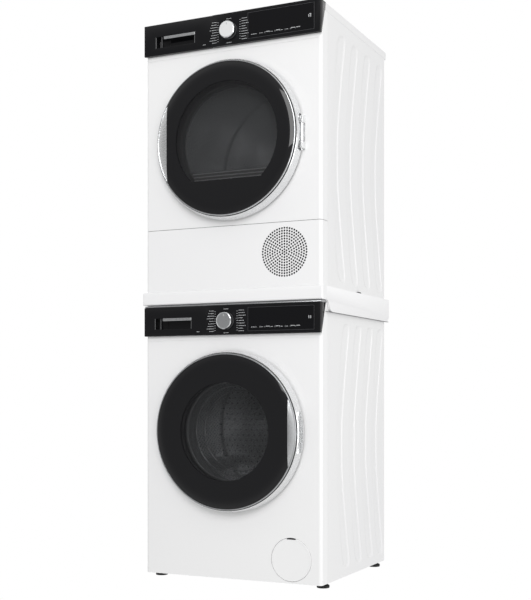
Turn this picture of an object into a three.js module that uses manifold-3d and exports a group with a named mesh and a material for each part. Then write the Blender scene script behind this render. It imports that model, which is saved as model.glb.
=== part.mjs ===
// Washer and heat-pump dryer stacked on a joining frame. Millimetres, +Z up, front towards -Y.
// The origin is on the floor, in the middle of the whole stack's width and depth.
import * as THREE from 'three';
import { mergeVertices } from 'three/addons/utils/BufferGeometryUtils.js';
import Module from 'manifold-3d';

const wasm = await Module();
wasm.setup();

// ---- driving dimensions ----
const HALF_WIDTH = 297.5;          // both cabinets are 595 wide
const FRONT = -263.5;              // plane of the white front panels
const REAR = FRONT + 550;          // plane of the rear panels
const FOOT_HEIGHT = 15;
const WASHER_TOP = 850;
const KIT_HEIGHT = 41;
const DRYER_BOTTOM = WASHER_TOP + KIT_HEIGHT;
const DRYER_TOP = DRYER_BOTTOM + 833;
const SHEET = 2;                   // panel thickness
const WALL = 3;                    // moulded shell thickness
const GAP = 0.3;                   // clearance between neighbouring pieces
const RETURN_DEPTH = 45;           // front panel's turned-back side edge
const FLANGE = 20;                 // side panel's inward edge at the rear
const FASCIA_PROUD = 12;           // fascia face ahead of the front panel
const FASCIA_TOP_DEPTH = 31;       // fascia end behind the front plane, at its top edge
const ROUND = 48;                  // sides of a large circle

const washer = {
  name: 'washer',
  bottom: FOOT_HEIGHT,
  sideTop: 843,
  fasciaLow: 753,
  fasciaHigh: 843,
  split: -78,                      // joint between drawer front and fascia
  knob: { x: -10, z: 795 },
  grip: { low: -260, high: -130, z: 791.5 },
  doorZ: 461,
  glassRadius: 231,
  hingeSide: -1,
  chord: 207,                      // straight edge of the door glass, beside the grip plate
  mouthRadius: 175.5,
};
const dryer = {
  name: 'dryer',
  bottom: DRYER_BOTTOM + GAP,
  sideTop: DRYER_TOP - 25.3,
  fasciaLow: DRYER_TOP - 97,
  fasciaHigh: DRYER_TOP,
  split: -57,
  knob: { x: 0, z: DRYER_TOP - 54 },
  grip: { low: -256, high: -118, z: DRYER_TOP - 57 },
  doorZ: DRYER_BOTTOM + 449,
  glassRadius: 228,
  hingeSide: 1,
  chord: 196,
  mouthRadius: 206,
};
const SERVICE_TOP = DRYER_BOTTOM + 193;      // seam above the dryer's lower panel
const HINGE = { x: 240, y: FRONT - 12, barrel: 7, pin: 3, knuckle: 26, half: 50 };   // upright door axis
const HATCH = { x: 200, z: 85, radius: 65 };
const GRIP = { height: 35, depth: 26, strip: 9, stripInset: 28 };    // drawer fronts' finger recess
const FACE = FRONT - FASCIA_PROUD;           // face of the fascias and drawer fronts
const DISPLAY = { low: 62, high: 280, border: 8, depth: 1.5 };
const TRAY_FRONT = FACE + GRIP.depth + WALL + GAP;

// ---- helpers ----
const group = new THREE.Group();

const finishes = {
  white: { color: 0xeeeeee, roughness: 0.4, metalness: 0 },
  side: { color: 0xe6e7e8, roughness: 0.45, metalness: 0 },
  black: { color: 0x17181a, roughness: 0.15, metalness: 0 },
  silver: { color: 0xc9cacc, roughness: 0.3, metalness: 0.8 },
  chrome: { color: 0xd8d9db, roughness: 0.12, metalness: 1 },
  glass: { color: 0x2a2c30, roughness: 0.05, metalness: 0 },
  steel: { color: 0xb4b6b8, roughness: 0.35, metalness: 1 },
  zinc: { color: 0x9a9c9e, roughness: 0.5, metalness: 0.9 },
  rubber: { color: 0x55575a, roughness: 0.8, metalness: 0 },
  plastic: { color: 0xd8d9da, roughness: 0.55, metalness: 0 },
  darkPlastic: { color: 0x2c2d2f, roughness: 0.6, metalness: 0 },
  concrete: { color: 0x8d8b87, roughness: 0.95, metalness: 0 },
};

function add(name, finish, geometry) {
  const mesh = new THREE.Mesh(geometry, new THREE.MeshStandardMaterial(finishes[finish]));
  mesh.name = name;
  group.add(mesh);
  return mesh;
}

function toSolid(geometry) {
  const bare = geometry.clone();
  bare.deleteAttribute('normal');
  bare.deleteAttribute('uv');
  const merged = mergeVertices(bare, 1e-4);
  return new wasm.Manifold(new wasm.Mesh({
    numProp: 3,
    vertProperties: new Float32Array(merged.attributes.position.array),
    triVerts: new Uint32Array(merged.index.array),
  }));
}

function toGeometry(solid) {
  const mesh = solid.getMesh();
  const geometry = new THREE.BufferGeometry();
  geometry.setAttribute('position', new THREE.BufferAttribute(new Float32Array(mesh.vertProperties), 3));
  geometry.setIndex(new THREE.BufferAttribute(new Uint32Array(mesh.triVerts), 1));
  return geometry;
}

// Joins the first geometries, then cuts the others away.
function combine(joined, cuts = []) {
  let solid = toSolid(joined[0]);
  for (const piece of joined.slice(1)) {
    solid = solid.add(toSolid(piece));
  }
  for (const piece of cuts) {
    solid = solid.subtract(toSolid(piece));
  }
  return toGeometry(solid);
}

function box(x0, x1, y0, y1, z0, z1) {
  const geometry = new THREE.BoxGeometry(x1 - x0, y1 - y0, z1 - z0);
  return geometry.translate((x0 + x1) / 2, (y0 + y1) / 2, (z0 + z1) / 2);
}

// A box given for the right-hand side, mirrored to the left where side is -1.
function sideBox(side, x0, x1, y0, y1, z0, z1) {
  return side > 0 ? box(x0, x1, y0, y1, z0, z1) : box(-x1, -x0, y0, y1, z0, z1);
}

function outline(points) {
  return new THREE.Shape(points.map(([a, b]) => new THREE.Vector2(a, b)));
}

function extrude(shape, depth, curveSegments = 12) {
  return new THREE.ExtrudeGeometry(shape, { depth, bevelEnabled: false, curveSegments });
}

// Outline in X and Z, thickness along Y.
function alongY(shape, y0, y1, curveSegments) {
  return extrude(shape, y1 - y0, curveSegments).rotateX(Math.PI / 2).translate(0, y1, 0);
}

// Outline in Y and Z, thickness along X.
function alongX(shape, x0, x1, curveSegments) {
  const turn = new THREE.Matrix4().makeBasis(
    new THREE.Vector3(0, 1, 0),
    new THREE.Vector3(0, 0, 1),
    new THREE.Vector3(1, 0, 0),
  );
  return extrude(shape, x1 - x0, curveSegments).applyMatrix4(turn).translate(x0, 0, 0);
}

// Outline in X and Y, thickness along Z.
function alongZ(shape, z0, z1, curveSegments) {
  return extrude(shape, z1 - z0, curveSegments).translate(0, 0, z0);
}

// A turned piece on an axis along Y. Points are [radius, distance behind the front panel], in
// either order: they are put counter-clockwise, so that the faces point outwards.
function turned(points, x, z, segments = ROUND) {
  const profile = points.map(([radius, depth]) => new THREE.Vector2(radius, depth));
  if (THREE.ShapeUtils.area(profile) < 0) {
    profile.reverse();
  }
  return new THREE.LatheGeometry(profile, segments).translate(x, FRONT, z);
}

// A closed turned ring: the profile's first point is repeated at its end.
function ring(points, x, z, segments) {
  return turned([...points, points[0]], x, z, segments);
}

function rodY(radius, y0, y1, x, z, segments = 24) {
  return new THREE.CylinderGeometry(radius, radius, y1 - y0, segments).translate(x, (y0 + y1) / 2, z);
}

function rodZ(radius, z0, z1, x, y, segments = 24) {
  const geometry = new THREE.CylinderGeometry(radius, radius, z1 - z0, segments).rotateX(Math.PI / 2);
  return geometry.translate(x, y, (z0 + z1) / 2);
}

// ---- cabinets ----
function sidePanel(unit, side) {
  const front = FRONT + RETURN_DEPTH + 0.5;
  const panel = combine([
    sideBox(side, HALF_WIDTH - SHEET, HALF_WIDTH, front, REAR, unit.bottom, unit.sideTop),
    sideBox(side, HALF_WIDTH - FLANGE, HALF_WIDTH, REAR - SHEET, REAR, unit.bottom, unit.sideTop),
    sideBox(side, HALF_WIDTH - 5, HALF_WIDTH, front, front + SHEET, unit.bottom, unit.sideTop),
  ]);
  add(`${unit.name}_${side < 0 ? 'left' : 'right'}_side`, 'side', panel);
}

// Plan of a front sheet whose ends turn back along the sides.
function wrappedPlan() {
  const corner = 10;
  const back = FRONT + RETURN_DEPTH;
  const inside = HALF_WIDTH - SHEET;
  const plan = new THREE.Shape();
  plan.moveTo(-HALF_WIDTH, back);
  plan.lineTo(-HALF_WIDTH, FRONT + corner);
  plan.absarc(-HALF_WIDTH + corner, FRONT + corner, corner, Math.PI, 1.5 * Math.PI, false);
  plan.lineTo(HALF_WIDTH - corner, FRONT);
  plan.absarc(HALF_WIDTH - corner, FRONT + corner, corner, 1.5 * Math.PI, 2 * Math.PI, false);
  plan.lineTo(HALF_WIDTH, back);
  plan.lineTo(inside, back);
  plan.lineTo(inside, FRONT + corner);
  plan.absarc(inside - corner + SHEET, FRONT + corner, corner - SHEET, 0, -0.5 * Math.PI, true);
  plan.lineTo(-inside + corner - SHEET, FRONT + SHEET);
  plan.absarc(-inside + corner - SHEET, FRONT + corner, corner - SHEET, -0.5 * Math.PI, -Math.PI, true);
  plan.lineTo(-inside, back);
  plan.closePath();
  return plan;
}

// Space in front of the fascia's slanted rear edge, cut out of the front panel's turned-back ends.
function fasciaSpace(unit) {
  const slope = FASCIA_TOP_DEPTH / (unit.fasciaHigh - unit.fasciaLow);
  const over = 20;
  return alongX(outline([
    [FRONT - 20, unit.fasciaLow - GAP],
    [FRONT + GAP, unit.fasciaLow - GAP],
    [FRONT + GAP + FASCIA_TOP_DEPTH + slope * over, unit.fasciaHigh + over],
    [FRONT - 20, unit.fasciaHigh + over],
  ]), -HALF_WIDTH - 10, HALF_WIDTH + 10);
}

function frontPanel(unit, low, extraCuts) {
  const sheet = alongZ(wrappedPlan(), low, unit.sideTop, 4);
  const mouth = rodY(unit.mouthRadius, FRONT - 5, FRONT + 5, 0, unit.doorZ, ROUND);
  add(`${unit.name}_front_panel`, 'white', combine([sheet], [fasciaSpace(unit), mouth, ...extraCuts]));
}

function rearPanel(unit) {
  const half = HALF_WIDTH - FLANGE - 0.5;
  add(`${unit.name}_rear_panel`, 'zinc', box(-half, half, REAR - SHEET, REAR, unit.bottom + 1, unit.sideTop));
}

function baseTray(unit, wallHeight, footHoles) {
  const half = HALF_WIDTH - 6;
  const y0 = FRONT + 4;
  const y1 = REAR - 4;
  const floor = unit.bottom + WALL;
  const inner = box(-half + WALL, half - WALL, y0 + WALL, y1 - WALL, floor, floor + wallHeight + 10);
  const outer = box(-half, half, y0, y1, unit.bottom, unit.bottom + wallHeight);
  add(`${unit.name}_base`, 'darkPlastic', combine([outer], [inner, ...footHoles]));
}

// ---- control fascia ----
function fasciaProfile(unit, inset) {
  const slope = FASCIA_TOP_DEPTH / (unit.fasciaHigh - unit.fasciaLow);
  const low = unit.fasciaLow + inset;
  const high = unit.fasciaHigh - inset;
  const rearAt = (z) => FRONT + slope * (z - unit.fasciaLow) + (inset > 0 ? 20 : 0);
  return outline([
    [FACE + inset, low],
    [rearAt(low), low],
    [rearAt(high), high],
    [FACE + inset, high],
  ]);
}

function fascia(unit) {
  const shell = alongX(fasciaProfile(unit, 0), -HALF_WIDTH, HALF_WIDTH);
  const cavity = alongX(fasciaProfile(unit, WALL), -HALF_WIDTH + WALL, HALF_WIDTH - WALL);
  const middleWall = box(
    unit.split + GAP, unit.split + GAP + WALL, FACE + 1, FRONT, unit.fasciaLow + 1, unit.fasciaHigh - 1,
  );
  const drawerSpace = box(
    -HALF_WIDTH - 1, unit.split + GAP,
    FRONT - 20, FRONT + GAP, unit.fasciaLow - 1, unit.fasciaHigh + 1,
  );
  const lowSliver = box(
    -HALF_WIDTH - 1, unit.split + GAP, FRONT - 20, FRONT + 20, unit.fasciaLow - 1, unit.fasciaLow + 12,
  );
  const shaftHole = rodY(5, FRONT - 20, FRONT + 10, unit.knob.x, unit.knob.z);
  const bottom = unit.fasciaLow + DISPLAY.border;
  const top = unit.fasciaHigh - DISPLAY.border;
  const displaySeat = box(DISPLAY.low, DISPLAY.high, FACE - 1, FACE + DISPLAY.depth, bottom, top);
  add(`${unit.name}_fascia`, 'black', toGeometry(
    toSolid(shell).subtract(toSolid(cavity)).add(toSolid(middleWall))
      .subtract(toSolid(drawerSpace)).subtract(toSolid(lowSliver))
      .subtract(toSolid(shaftHole)).subtract(toSolid(displaySeat)),
  ));
  add(`${unit.name}_display`, 'glass', box(
    DISPLAY.low + GAP, DISPLAY.high - GAP, FACE, FACE + DISPLAY.depth - GAP, bottom + GAP, top - GAP,
  ));
  add(`${unit.name}_knob`, 'silver', turned([
    [0, -30], [24, -30], [25.5, -28.5], [26.5, -15], [26.5, -12.6],
    [21.5, -12.6], [21.5, -14], [3.5, -14], [3.5, 6], [0, 6],
  ], unit.knob.x, unit.knob.z, 32));
}

// A drawer front with its finger recess, and the bright strip over the recess.
function drawerFront(unit, frontName, stripName) {
  const { low, high } = unit.grip;
  const bottom = unit.grip.z - GRIP.height / 2;
  const top = unit.grip.z + GRIP.height / 2;
  const cupBack = FACE + GRIP.depth + WALL;
  const plate = box(-HALF_WIDTH, unit.split - GAP, FACE, FRONT, unit.fasciaLow + GAP, unit.fasciaHigh - GAP);
  const cup = box(low - WALL, high + WALL, FRONT - 1, cupBack, bottom - WALL, top + WALL);
  const pocket = box(low, high, FACE - 1, FACE + GRIP.depth, bottom, top);
  add(frontName, 'black', combine([plate, cup], [pocket]));
  add(stripName, 'silver', box(
    low + GRIP.stripInset, high - GAP, FACE + 0.5, FACE + 5, top - GRIP.strip, top - GAP,
  ));
}

// ---- doors ----
function door(unit) {
  const { name, doorZ, glassRadius: radius, hingeSide, chord } = unit;
  const upright = (side, x0, x1, y0, y1, half) => sideBox(side, x0, x1, y0, y1, doorZ - half, doorZ + half);
  const hingeX = hingeSide * HINGE.x;
  const outer = radius + 13.5;
  const body = ring([
    [outer, -0.6], [outer, -10], [radius + 9, -35], [radius + 6.2, -40], [radius + 3.5, -44.5],
    [radius + GAP, -43], [radius + GAP, -38.2], [radius - 8, -38.2], [radius - 12, -30],
    [220, -6], [206, -6], [206, -0.6],
  ], 0, doorZ);
  const notch = upright(hingeSide, HINGE.x - 10, 256, FRONT - 27, FRONT, HINGE.half + 4);
  const fingerPocket = upright(-hingeSide, 226, 256, FRONT - 35, FRONT - 12, 62);
  const arm = upright(hingeSide, HINGE.x - 14, HINGE.x, HINGE.y - 5, HINGE.y + 5, HINGE.knuckle);
  const barrel = rodZ(HINGE.barrel, doorZ - HINGE.knuckle, doorZ + HINGE.knuckle, hingeX, HINGE.y);
  const bore = rodZ(HINGE.pin + 0.6, doorZ - HINGE.half, doorZ + HINGE.half, hingeX, HINGE.y);
  const solid = toSolid(body).subtract(toSolid(notch)).subtract(toSolid(fingerPocket))
    .add(toSolid(arm)).add(toSolid(barrel)).subtract(toSolid(bore));
  add(`${name}_door_ring`, 'chrome', toGeometry(solid));

  const cover = turned([
    [0, -48], [150, -47.7], [205, -46.8], [226, -45.4], [radius - 1.5, -44], [radius, -42.5],
    [radius, -38.5], [222, -38.5], [217, -42], [0, -43.5],
  ], 0, doorZ);
  const beyondChord = upright(-hingeSide, chord, 260, FRONT - 60, FRONT, 260);
  const insideChord = upright(-hingeSide, -260, chord + GAP, FRONT - 60, FRONT, 260);
  add(`${name}_door_glass`, 'glass', combine([cover], [beyondChord]));
  add(`${name}_door_handle`, 'silver', combine([cover], [insideChord]));
  doorHinge(unit, hingeX);
}

// Leaf on the front panel, with a cheek along its outer edge and a lug at each end of the knuckle.
function doorHinge(unit, hingeX) {
  const { name, doorZ, hingeSide } = unit;
  const { x, y, half } = HINGE;
  const pinEnd = half - 2;
  const pin = rodZ(HINGE.pin, doorZ - pinEnd, doorZ + pinEnd, hingeX, y);
  const leaf = sideBox(hingeSide, x - 8, x + 10, FRONT - 2.3, FRONT - GAP, doorZ - half, doorZ + half);
  const cheek = sideBox(hingeSide, x + 8, x + 10, y - 2, FRONT - 1, doorZ - half, doorZ + half);
  const lugs = [-1, 1].map((end) => {
    const [low, high] = [HINGE.knuckle + 1, pinEnd].map((z) => doorZ + end * z).sort((a, b) => a - b);
    return sideBox(hingeSide, x - 7, x + 9, y - 6, FRONT - 1, low, high);
  });
  add(`${name}_door_hinge`, 'zinc', combine([leaf, cheek, pin, ...lugs]));
}

// ---- drums ----
// A sheet drum with an open mouth and three hollow paddles that point at its axis.
function drum(unit, size) {
  const skin = 1.5;
  const { outer, mouth, front, back, ridge, paddleFront, paddleBack } = size;
  const shell = turned([
    [0, back - 2], [outer - skin, back - 2], [outer - skin, front + skin], [mouth, front + skin],
    [mouth, front], [outer, front], [outer, back], [0, back],
  ], 0, unit.doorZ);
  const foot = outer - 1;
  const footHalf = 27;
  const ridgeHalf = 11;
  const slope = (footHalf - ridgeHalf) / (foot - ridge);
  const solid = outline([[-footHalf, foot], [footHalf, foot], [ridgeHalf, ridge], [-ridgeHalf, ridge]]);
  const wall = 2;
  const footInside = footHalf - wall * Math.hypot(1, slope);
  const over = 6;
  const hollow = outline([
    [-footInside - slope * over, foot + over], [footInside + slope * over, foot + over],
    [footInside - slope * (foot - ridge - wall), ridge + wall],
    [-footInside + slope * (foot - ridge - wall), ridge + wall],
  ]);
  const thirds = [0, 1, 2].map((index) => index * 2 * Math.PI / 3);
  const place = (geometry, angle) => geometry.rotateY(angle).translate(0, 0, unit.doorZ);
  const outside = thirds.map((angle) => (
    place(alongY(solid, FRONT + paddleFront, FRONT + paddleBack), angle)));
  const inside = thirds.map((angle) => (
    place(alongY(hollow, FRONT + paddleFront + wall, FRONT + paddleBack - wall), angle)));
  add(`${unit.name}_drum`, 'steel', combine([shell, ...outside], inside));
}

// ---- washer ----
const FOOT_X = 277;
const FOOT_FRONT = FRONT + 60;
const FOOT_REAR = REAR - 45;
const FOOT_RADIUS = 19;
const STUD_RADIUS = 6;
const feet = [
  ['washer_foot_front_left', -FOOT_X, FOOT_FRONT],
  ['washer_foot_front_right', FOOT_X, FOOT_FRONT],
  ['washer_foot_rear_left', -FOOT_X, FOOT_REAR],
  ['washer_foot_rear_right', FOOT_X, FOOT_REAR],
];
const TUB = { front: 71, back: 420, outer: 262, wall: 8, frontWall: 6, mouth: 170, bearing: 18 };
const STATOR = { inner: 40, outer: 122, depth: 26 };
const TRAY = { low: -286, high: -90, back: TRAY_FRONT + 215, bottom: 764, top: 822 };
const TRAY_BAYS = [[-283, -222], [-219, -157], [-154, -93]];

function levellingFeet() {
  for (const [name, x, y] of feet) {
    const disc = rodZ(FOOT_RADIUS, 0, FOOT_HEIGHT - GAP, x, y);
    const stud = rodZ(STUD_RADIUS, FOOT_HEIGHT - 2, FOOT_HEIGHT + 27, x, y);
    add(name, 'darkPlastic', combine([disc, stud]));
  }
}

function washerTopPlate() {
  const low = washer.sideTop + GAP;
  add('washer_top_plate', 'side', combine([
    box(-HALF_WIDTH, HALF_WIDTH, FRONT + 6, REAR, low, WASHER_TOP - GAP),
    box(-HALF_WIDTH, HALF_WIDTH, FRONT - 9, FRONT + 8, low, low + 4),
  ]));
}

// The three-bay drawer and the box that it slides into.
function dispenser() {
  const bays = TRAY_BAYS.map(([low, high]) => (
    box(low, high, TRAY_FRONT + WALL, TRAY.back - WALL, TRAY.bottom + 4, TRAY.top + 8)));
  add('detergent_tray', 'plastic', combine(
    [box(TRAY.low, TRAY.high, TRAY_FRONT, TRAY.back, TRAY.bottom, TRAY.top)], bays,
  ));
  const wall = 2.5;
  const low = TRAY.low - 5;
  const high = TRAY.high + 6;
  const front = FRONT + 36;
  const back = TRAY.back + 12;
  const bottom = TRAY.bottom - 3.5;
  const top = TRAY.top + 16;
  add('dispenser_housing', 'plastic', combine(
    [box(low, high, front, back, bottom, top)],
    [box(low + wall, high - wall, front - 6, back - wall, bottom + wall, top - wall)],
  ));
}

function washerDoorBowl() {
  add('washer_door_bowl', 'glass', turned([
    [0, 100], [95, 97], [122, 86], [143, 30], [152, -0.8], [205.5, -0.8], [205.5, -5.4],
    [147, -5.4], [137.5, 30], [118, 81], [93, 91.5], [0, 94.5],
  ], 0, washer.doorZ));
}

// Rubber bellows between the front panel and the tub, with one outward fold.
function washerSeal() {
  const tubLip = TUB.front - 0.4;
  add('washer_door_seal', 'rubber', ring([
    [157, 1], [175, 1], [175, 2.4], [186, 2.4], [186, 7], [166, 7], [166, 30], [174, 38], [166, 46],
    [166, tubLip], [157, tubLip], [157, 46], [163, 38], [157, 30],
  ], 0, washer.doorZ));
}

function tubAndMotor() {
  const { front, back, outer, wall, frontWall, mouth, bearing } = TUB;
  add('washer_tub', 'darkPlastic', ring([
    [mouth, front], [mouth, front + frontWall], [outer - wall, front + frontWall],
    [outer - wall, back - wall], [bearing, back - wall], [bearing, back], [outer, back], [outer, front],
  ], 0, washer.doorZ));
  add('washer_motor_stator', 'steel', ring([
    [STATOR.inner, back + GAP], [STATOR.inner, back + STATOR.depth],
    [STATOR.outer, back + STATOR.depth], [STATOR.outer, back + GAP],
  ], 0, washer.doorZ));
  const shaft = 14;
  const cupInner = STATOR.outer + 10;
  const cupOuter = cupInner + 6;
  const cupFloor = back + STATOR.depth + 12;
  add('washer_drum_rotor', 'zinc', turned([
    [0, washerDrum.back + GAP], [shaft, washerDrum.back + GAP], [shaft, cupFloor],
    [cupInner, cupFloor], [cupInner, back + 10], [cupOuter, back + 10],
    [cupOuter, cupFloor + 6], [0, cupFloor + 6],
  ], 0, washer.doorZ));
}

// Concrete arc over the top of the tub's front.
function counterweight() {
  const from = -0.1 * Math.PI;
  const to = 1.1 * Math.PI;
  const arc = new THREE.Shape();
  arc.absarc(0, 0, TUB.outer - 6, from, to, false);
  arc.absarc(0, 0, 194, to, from, true);
  arc.closePath();
  const block = alongY(arc, FRONT + 26, FRONT + TUB.front - 0.4, 24);
  add('washer_counterweight', 'concrete', block.translate(0, 0, washer.doorZ));
}

// Friction dampers between the base and the underside of the tub.
function dampers() {
  for (const side of [-1, 1]) {
    const foot = new THREE.Vector3(side * 190, 20, 30);
    const top = new THREE.Vector3(side * 112, 20, 216);
    const length = foot.distanceTo(top);
    const strut = new THREE.LatheGeometry([
      [0, 0], [14, 0], [14, length * 0.55], [8, length * 0.55], [8, length], [0, length],
    ].map(([radius, along]) => new THREE.Vector2(radius, along)), 16);
    const direction = top.clone().sub(foot).normalize();
    const tilt = new THREE.Quaternion().setFromUnitVectors(new THREE.Vector3(0, 1, 0), direction);
    strut.applyQuaternion(tilt).translate(foot.x, foot.y, foot.z);
    add(`washer_damper_${side < 0 ? 'left' : 'right'}`, 'darkPlastic', strut);
  }
}

// Drain pump, its screw-in fluff filter and the round hatch in front of them.
function drainFilter() {
  const { x, z, radius } = HATCH;
  add('washer_drain_pump', 'plastic', combine([
    rodY(40, FRONT + 24, FRONT + 150, x, z),
    box(x - 25, x + 25, FRONT + 60, FRONT + 140, FOOT_HEIGHT + 3.5, 60),
  ], [rodY(27, FRONT + 20, FRONT + 75, x, z)]));
  add('washer_filter_plug', 'darkPlastic', combine([
    rodY(26, FRONT + 20, FRONT + 68, x, z),
    rodY(36, FRONT + 15, FRONT + 23.6, x, z),
    box(x - 5, x + 5, FRONT + 7, FRONT + 18, z - 27, z + 27),
  ]));
  add('washer_filter_hatch', 'white', combine(
    [rodY(radius - 0.8, FRONT - 1, FRONT + 2.5, x, z, 32)],
    [rodY(13, FRONT - 5, FRONT + 5, x, z + radius + 2, 16)],
  ));
}

const washerDrum = {
  outer: 244, mouth: 172, front: 84, back: 402, ridge: 198, paddleFront: 110, paddleBack: 380,
};
baseTray(washer, 30, feet.map(([, x, y]) => rodZ(STUD_RADIUS + 1, 0, 40, x, y)));
levellingFeet();
sidePanel(washer, -1);
sidePanel(washer, 1);
rearPanel(washer);
frontPanel(washer, washer.bottom, [rodY(HATCH.radius, FRONT - 5, FRONT + 5, HATCH.x, HATCH.z, 32)]);
washerTopPlate();
fascia(washer);
drawerFront(washer, 'detergent_drawer_front', 'detergent_handle_strip');
dispenser();
door(washer);
washerDoorBowl();
washerSeal();
drum(washer, washerDrum);
tubAndMotor();
counterweight();
dampers();
drainFilter();

// ---- joining frame between the machines ----
const KIT_HALF = HALF_WIDTH + 7.5;
const KIT_LOW = WASHER_TOP + GAP;
const KIT_CORNER = FRONT + 20;               // joint between the front rail and the skirts
const KIT_REAR = REAR + 25;
const KIT_BEND = 8;                          // front rail's rounded ends, seen from above
const DECK_EDGE = HALF_WIDTH - 42;           // inner edge of the deck that carries the dryer
const SKIRT_LOW = 817;

function kitFrontRail() {
  const crown = [
    [KIT_CORNER, DRYER_BOTTOM], [FACE + 3, DRYER_BOTTOM], [FACE, DRYER_BOTTOM - 10],
    [FACE, KIT_LOW + 10.7], [FACE + 3, KIT_LOW], [KIT_CORNER, KIT_LOW],
  ];
  const inside = [
    [KIT_CORNER, KIT_LOW + WALL], [FACE + 6, KIT_LOW + WALL], [FACE + WALL, KIT_LOW + 11.7],
    [FACE + WALL, DRYER_BOTTOM - 11], [FACE + 6, DRYER_BOTTOM - WALL], [KIT_CORNER, DRYER_BOTTOM - WALL],
  ];
  const bend = KIT_BEND;
  const plan = new THREE.Shape();
  plan.moveTo(-KIT_HALF, KIT_CORNER + 1);
  plan.lineTo(-KIT_HALF, FACE + bend);
  plan.absarc(-KIT_HALF + bend, FACE + bend, bend, Math.PI, 1.5 * Math.PI, false);
  plan.lineTo(KIT_HALF - bend, FACE);
  plan.absarc(KIT_HALF - bend, FACE + bend, bend, 1.5 * Math.PI, 2 * Math.PI, false);
  plan.lineTo(KIT_HALF, KIT_CORNER + 1);
  plan.closePath();
  const rail = toSolid(alongX(outline([...crown, ...inside]), -KIT_HALF, KIT_HALF))
    .add(toSolid(alongX(outline(crown), -KIT_HALF, -KIT_HALF + bend)))
    .add(toSolid(alongX(outline(crown), KIT_HALF - bend, KIT_HALF)))
    .intersect(toSolid(alongZ(plan, KIT_LOW - 5, DRYER_BOTTOM + 5, 5)));
  add('kit_front_rail', 'white', toGeometry(rail));
}

// A side skirt: a wall that sweeps down over the washer's side, and a deck under the dryer's edge.
function kitSkirt(side) {
  const sweepFront = FRONT + 22;
  const sweepBack = FRONT + 64;
  const chamfer = 14;
  const profile = new THREE.Shape();
  profile.moveTo(KIT_CORNER + GAP, DRYER_BOTTOM);
  profile.lineTo(KIT_CORNER + GAP, KIT_LOW);
  profile.lineTo(sweepFront, KIT_LOW);
  profile.bezierCurveTo(sweepFront + 22, KIT_LOW, sweepBack - 22, SKIRT_LOW, sweepBack, SKIRT_LOW);
  profile.lineTo(KIT_REAR - chamfer, SKIRT_LOW);
  profile.lineTo(KIT_REAR, SKIRT_LOW + chamfer);
  profile.lineTo(KIT_REAR, DRYER_BOTTOM);
  profile.closePath();
  const x0 = HALF_WIDTH + 0.5;
  const wall = side > 0 ? alongX(profile, x0, KIT_HALF, 6) : alongX(profile, -KIT_HALF, -x0, 6);
  const front = KIT_CORNER + GAP;
  const deck = sideBox(side, DECK_EDGE, x0 + 1, front, KIT_REAR, DRYER_BOTTOM - WALL, DRYER_BOTTOM);
  const rib = sideBox(side, DECK_EDGE, DECK_EDGE + WALL, front, KIT_REAR, KIT_LOW, DRYER_BOTTOM);
  add(`kit_${side < 0 ? 'left' : 'right'}_skirt`, 'white', combine([wall, deck, rib]));
}

function kitRearRail() {
  const half = DECK_EDGE - GAP;
  const front = REAR - 30;
  add('kit_rear_rail', 'white', combine([
    box(-half, half, front, KIT_REAR, DRYER_BOTTOM - WALL, DRYER_BOTTOM),
    box(-half, half, front, front + WALL, KIT_LOW, DRYER_BOTTOM),
    box(-half, half, KIT_REAR - WALL, KIT_REAR, SKIRT_LOW, DRYER_BOTTOM),
  ]));
}

kitFrontRail();
kitSkirt(-1);
kitSkirt(1);
kitRearRail();

// ---- dryer ----
const TANK = { low: -286, high: -92, back: TRAY_FRONT + 430, bottom: 1645, top: 1693 };
const SHIELD = { inner: 200, lip: 214, outer: 283, front: 2.4, step: 60, back: 72 };
const FAN = { x: 150, z: DRYER_BOTTOM + 112, radius: 88 };

function dryerTopCover() {
  const half = HALF_WIDTH + 0.5;
  const y0 = FRONT + FASCIA_TOP_DEPTH + 0.5;
  const y1 = REAR + 14;
  const z0 = DRYER_TOP - 25;
  add('dryer_top_cover', 'white', combine(
    [box(-half, half, y0, y1, z0, DRYER_TOP)],
    [box(-half + WALL, half - WALL, y0 + WALL, y1 - WALL, z0 - 1, DRYER_TOP - WALL)],
  ));
}

function waterTank() {
  const { low, high, back, bottom, top } = TANK;
  add('water_tank', 'plastic', combine(
    [box(low, high, TRAY_FRONT, back, bottom, top)],
    [box(low + WALL, high - WALL, TRAY_FRONT + WALL, back - WALL, bottom + WALL, top + 7)],
  ));
}

function dryerDoorInner() {
  add('dryer_door_inner', 'darkPlastic', turned([
    [0, 16], [171, 16], [175, -5.6], [205.5, -5.6], [205.5, -0.8], [192, -0.8], [186, 24], [0, 24],
  ], 0, dryer.doorZ));
}

// Fixed shield that closes the drum's front around the door mouth.
function bulkhead() {
  const { inner, lip, outer, front, step, back } = SHIELD;
  add('dryer_bulkhead', 'plastic', ring([
    [inner, front], [inner, back], [outer, back], [outer, step], [lip, step], [lip, front],
  ], 0, dryer.doorZ));
}

// Filter case: the lower segment of the door mouth.
function lintFilter() {
  const radius = SHIELD.inner - 0.6;
  const level = -122;
  const end = Math.asin(level / radius);
  const segment = new THREE.Shape();
  segment.absarc(0, 0, radius, end, -Math.PI - end, true);
  segment.closePath();
  const body = alongY(segment, FRONT + 30, FRONT + 68, 16);
  add('dryer_lint_filter', 'plastic', body.translate(0, 0, dryer.doorZ));
}

// Motor with the fan housing behind it, on one foot.
function dryerMotor() {
  const { x, z, radius } = FAN;
  add('dryer_motor', 'zinc', combine([
    rodY(52, FRONT + 250, FRONT + 420, x, z),
    rodY(radius, FRONT + 420, FRONT + 480, x, z, 32),
    box(x - 40, x + 40, FRONT + 270, FRONT + 400, z - 55, z - 15),
  ]));
}

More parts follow.
